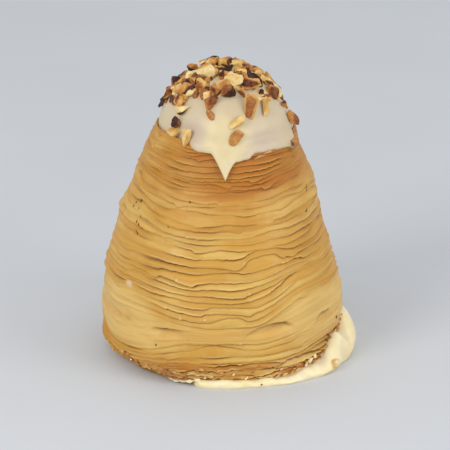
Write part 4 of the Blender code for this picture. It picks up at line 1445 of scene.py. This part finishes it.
def pastryFinish():
    look = {
        "golden": (0.60, 0.318, 0.050, 1),
        "pale": (0.68, 0.430, 0.105, 1),
        "cream": (0.73, 0.485, 0.150, 1),
        "toasted": (0.42, 0.132, 0.008, 1),
        "rusty": (0.54, 0.225, 0.024, 1),
        # The groove colour is painted shade for the grooves, dents and creases, and it also darkens the fine
        # streaks. The lip colour is a painted highlight along the lips.
        "grooveShade": (0.22, 0.080, 0.008, 1),
        "lip": (0.82, 0.590, 0.240, 1),
        "pit": (0.06, 0.022, 0.008, 1),
        "caramel": (0.42, 0.140, 0.012, 1),
        "scar": (0.78, 0.560, 0.440, 1),
    }
    f = Finish("bakedLayers")
    level, tone, toast, foot, lip = [f.mark(name) for name in ("level", "tone", "toast", "foot", "lip")]
    big = f.blotchy(38.0, 170.0)
    small = f.blotchy(150.0, 700.0)
    streak = f.streaky(level, 55.0, 1500.0)
    wide = f.streaky(level, 32.0, 420.0)
    paleness = f.plus(f.span(tone, -1.4, 1.6), f.span(big, 0.35, 0.65, (-0.35, 0.35)))
    colour = f.blend(f.span(paleness, 0.15, 1.05), look["golden"], look["pale"])
    colour = f.blend(f.span(f.mark("calm"), 0.1, 1.0, (0.0, 0.85)), colour, look["cream"])
    warm = f.times(f.span(wide, 0.5, 0.72), f.span(big, 0.36, 0.58))
    colour = f.blend(f.times(warm, 0.45), colour, look["rusty"])
    toasted = f.times(toast, f.span(wide, 0.3, 0.7, (0.7, 1.3)), clamp=True)
    colour = f.blend(f.times(toasted, 0.85), colour, look["toasted"])
    patches = f.plus(tone, f.span(wide, 0.35, 0.65, (-1.1, 1.1)))
    colour = f.blend(f.times(foot, f.span(patches, 1.1, -0.9)), colour, look["caramel"])
    # Painted highlight along the lips, with painted glints on the lips at the foot, and less of it where the
    # dough is toasted.
    torn = f.times(lip, f.times(foot, f.span(small, 0.42, 0.6, (0.0, 0.9))))
    lipHighlight = f.plus(f.span(lip, 0.25, 1.15, (0.0, 0.72)), torn, clamp=True)
    lipHighlight = f.times(lipHighlight, f.calc("SUBTRACT", 1.0, f.times(toast, 0.55)), clamp=True)
    colour = f.blend(lipHighlight, colour, look["lip"])
    # Painted shade in the grooves, deeper at the foot.
    unevenShade = f.times(f.mark("grooveShade"), f.span(wide, 0.3, 0.7, (0.75, 1.2)))
    deepShade = f.times(unevenShade, f.plus(1.0, f.times(foot, 1.3)))
    colour = f.blend(f.span(deepShade, 0.15, 1.1, (0.0, 0.85)), colour, look["grooveShade"])
    colour = f.blend(f.mark("scar"), colour, look["scar"])
    colour = f.blend(f.span(streak, 0.35, 0.62, (0.16, 0.0)), colour, look["grooveShade"])
    speck = f.add("ShaderNodeTexVoronoi", {"Vector": f.place, "Scale": 330.0}).outputs["Distance"]
    specks = f.times(f.span(speck, 0.16, 0.08), f.span(big, 0.60, 0.66))
    colour = f.blend(f.times(specks, 0.75), colour, look["pit"])
    colour = f.blend(f.span(f.mark("pit"), 0.2, 0.8, (0.0, 0.92)), colour, look["pit"])
    return f.done({
        "Base Color": colour,
        "Roughness": f.calc("SUBTRACT", f.span(small, 0.3, 0.7, (0.42, 0.60)), f.times(foot, 0.17)),
        "Normal": f.bump(f.plus(f.times(streak, 0.55), f.times(small, 0.6)), 0.35 * mm, 0.8),
        "Specular IOR Level": 0.38,
        "Subsurface Weight": 0.08,
        "Subsurface Radius": (1.0, 0.5, 0.2),
        "Subsurface Scale": 1.2 * mm,
    })


def creamFinish():
    look = {"cream": (0.67, 0.545, 0.295, 1), "light": (0.72, 0.60, 0.355, 1), "mauveShade": (0.53, 0.42, 0.33, 1)}
    f = Finish("capCream")
    soft = f.blotchy(70.0, 300.0)
    colour = f.blend(f.span(soft, 0.35, 0.65), look["cream"], look["light"])
    # Painted shade: mauve away from the ridge and in the hollows.
    away = f.span(f.mark("ridge"), 0.15, 0.75, (0.45, 0.0))
    paintedShade = f.plus(away, f.span(f.mark("hollow"), 0.0, 1.0, (0.0, 0.42)), clamp=True)
    return f.done({
        "Base Color": f.blend(paintedShade, colour, look["mauveShade"]),
        "Roughness": f.span(soft, 0.3, 0.7, (0.36, 0.5)),
        "Normal": f.bump(f.blotchy(500.0, 1600.0), 0.12 * mm, 0.5),
        "Subsurface Weight": 0.25,
        "Subsurface Radius": (1.0, 0.75, 0.45),
        "Subsurface Scale": 2.5 * mm,
    })


def fillingFinish():
    look = {"cream": (0.86, 0.71, 0.38, 1), "light": (0.91, 0.80, 0.52, 1), "foldShade": (0.68, 0.52, 0.36, 1)}
    f = Finish("fillingCream")
    soft = f.blotchy(90.0, 380.0)
    colour = f.blend(f.span(soft, 0.35, 0.65), look["cream"], look["light"])
    return f.done({
        # Painted shade: buff in the hollows of the folds.
        "Base Color": f.blend(f.span(f.mark("hollow"), 0.1, 0.6, (0.0, 0.35)), colour, look["foldShade"]),
        "Roughness": f.span(soft, 0.3, 0.7, (0.28, 0.42)),
        "Normal": f.bump(f.blotchy(420.0, 1500.0), 0.2 * mm, 0.6),
        "Subsurface Weight": 0.25,
        "Subsurface Radius": (1.0, 0.75, 0.4),
        "Subsurface Scale": 2.5 * mm,
    })


def nutFinish():
    stops = (
        (0.0, (0.022, 0.008, 0.005, 1)),
        (0.15, (0.070, 0.018, 0.009, 1)),
        (0.32, (0.290, 0.090, 0.022, 1)),
        (0.52, (0.520, 0.225, 0.050, 1)),
        (0.74, (0.690, 0.420, 0.120, 1)),
        (1.0, (0.850, 0.690, 0.350, 1)),
    )
    f = Finish("roastedNuts")
    mottle = f.span(f.blotchy(420.0, 1400.0), 0.3, 0.7, (-0.11, 0.11))
    return f.done({
        "Base Color": f.ramp(f.plus(f.mark("tone"), mottle, clamp=True), stops),
        "Roughness": f.span(f.mark("skin"), 0.2, 0.8, (0.5, 0.45)),
        "Specular IOR Level": 0.25,
        "Normal": f.bump(f.blotchy(1100.0, 3600.0), 0.22 * mm, 0.7),
    })


def flakeFinish():
    stops = (
        (0.0, (0.012, 0.006, 0.004, 1)),
        (0.15, (0.300, 0.095, 0.016, 1)),
        (0.5, (0.560, 0.260, 0.055, 1)),
        (0.8, (0.700, 0.430, 0.150, 1)),
        (1.0, (0.900, 0.760, 0.460, 1)),
    )
    f = Finish("looseFlakes")
    soft = f.blotchy(500.0, 1500.0)
    mottle = f.span(soft, 0.3, 0.7, (-0.12, 0.12))
    return f.done({
        "Base Color": f.ramp(f.plus(f.mark("tone"), mottle, clamp=True), stops),
        "Roughness": f.span(soft, 0.3, 0.7, (0.35, 0.55)),
        "Normal": f.bump(soft, 0.2 * mm, 0.6),
    })


# Floor, lights and camera

studio = {
    "floorSize": 4.0,
    "floorDark": (0.60, 0.62, 0.65, 1),
    "floorLight": (0.63, 0.65, 0.68, 1),
    "target": (0.0008, -0.0021, 0.0411),
    "elevation": 20.0,
    "distance": 0.95,
    "lens": 243.2,
    "sensor": 36.0,
    "world": (0.84, 0.86, 0.88, 1),
    "worldStrength": 0.86,
    "lightAim": (0, 0, 0.045),
    # Round area lights: name, place, size, watts, colour
    "lights": (
        ("keyLight", (-0.56, -0.64, 0.55), 0.45, 3.65, (1.0, 0.985, 0.96)),
        ("fillLight", (0.75, -0.5, 0.35), 0.6, 2.9, (1.0, 0.99, 0.98)),
    ),
}


def makeFloor():
    half = studio["floorSize"] / 2
    points = [(-half, -half, 0), (half, -half, 0), (half, half, 0), (-half, half, 0)]
    floor = makePiece("studioFloor", points, [[0, 1, 2, 3]], smooth=False)
    f = Finish("paleFloor")
    mottle = f.span(f.blotchy(3.0, 12.0), 0.3, 0.7)
    colour = f.blend(mottle, studio["floorDark"], studio["floorLight"])
    floor.data.materials.append(f.done({"Base Color": colour, "Roughness": 0.8}))


def facing(direction):
    return direction.to_track_quat("-Z", "Y").to_euler()


def makeLights():
    for name, place, size, watts, colour in studio["lights"]:
        light = bpy.data.lights.new(name, "AREA")
        light.shape = "DISK"
        light.size = size
        light.energy = watts
        light.color = colour
        lamp = intoScene(name, light)
        lamp.location = place
        lamp.rotation_euler = facing(Vector(studio["lightAim"]) - Vector(place))
    world = bpy.data.worlds.new("studioWorld")
    world.use_nodes = True
    background = world.node_tree.nodes["Background"]
    background.inputs["Color"].default_value = studio["world"]
    background.inputs["Strength"].default_value = studio["worldStrength"]
    bpy.context.scene.world = world
    bpy.context.scene.view_settings.view_transform = "Standard"


def makeCamera():
    tilt = math.radians(studio["elevation"])
    back = Vector((0, -math.cos(tilt), math.sin(tilt)))
    data = bpy.data.cameras.new("frontCamera")
    data.lens = studio["lens"]
    data.sensor_width = studio["sensor"]
    camera = intoScene("frontCamera", data)
    camera.location = Vector(studio["target"]) + back * studio["distance"]
    camera.rotation_euler = facing(-back)
    bpy.context.scene.camera = camera


def dress(piece, material, slot, *nodes):
    piece.data.materials.append(material)
    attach(piece, "root")
    if nodes:
        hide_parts(*nodes)


def main():
    dress(makeLayers(), pastryFinish(), "baked_layers", "pastry_bell")
    dress(makeCapCream(), creamFinish(), "cap_cream", "cream_cap")
    dress(makeNuts(), nutFinish(), "cap_cream")
    dress(makeFilling(), fillingFinish(), "filling_cream", "filling")
    dress(makeFlakes(), flakeFinish(), "baked_layers")
    makeFloor()
    makeLights()
    makeCamera()
    print("studio: floor, two lights and camera")


main()
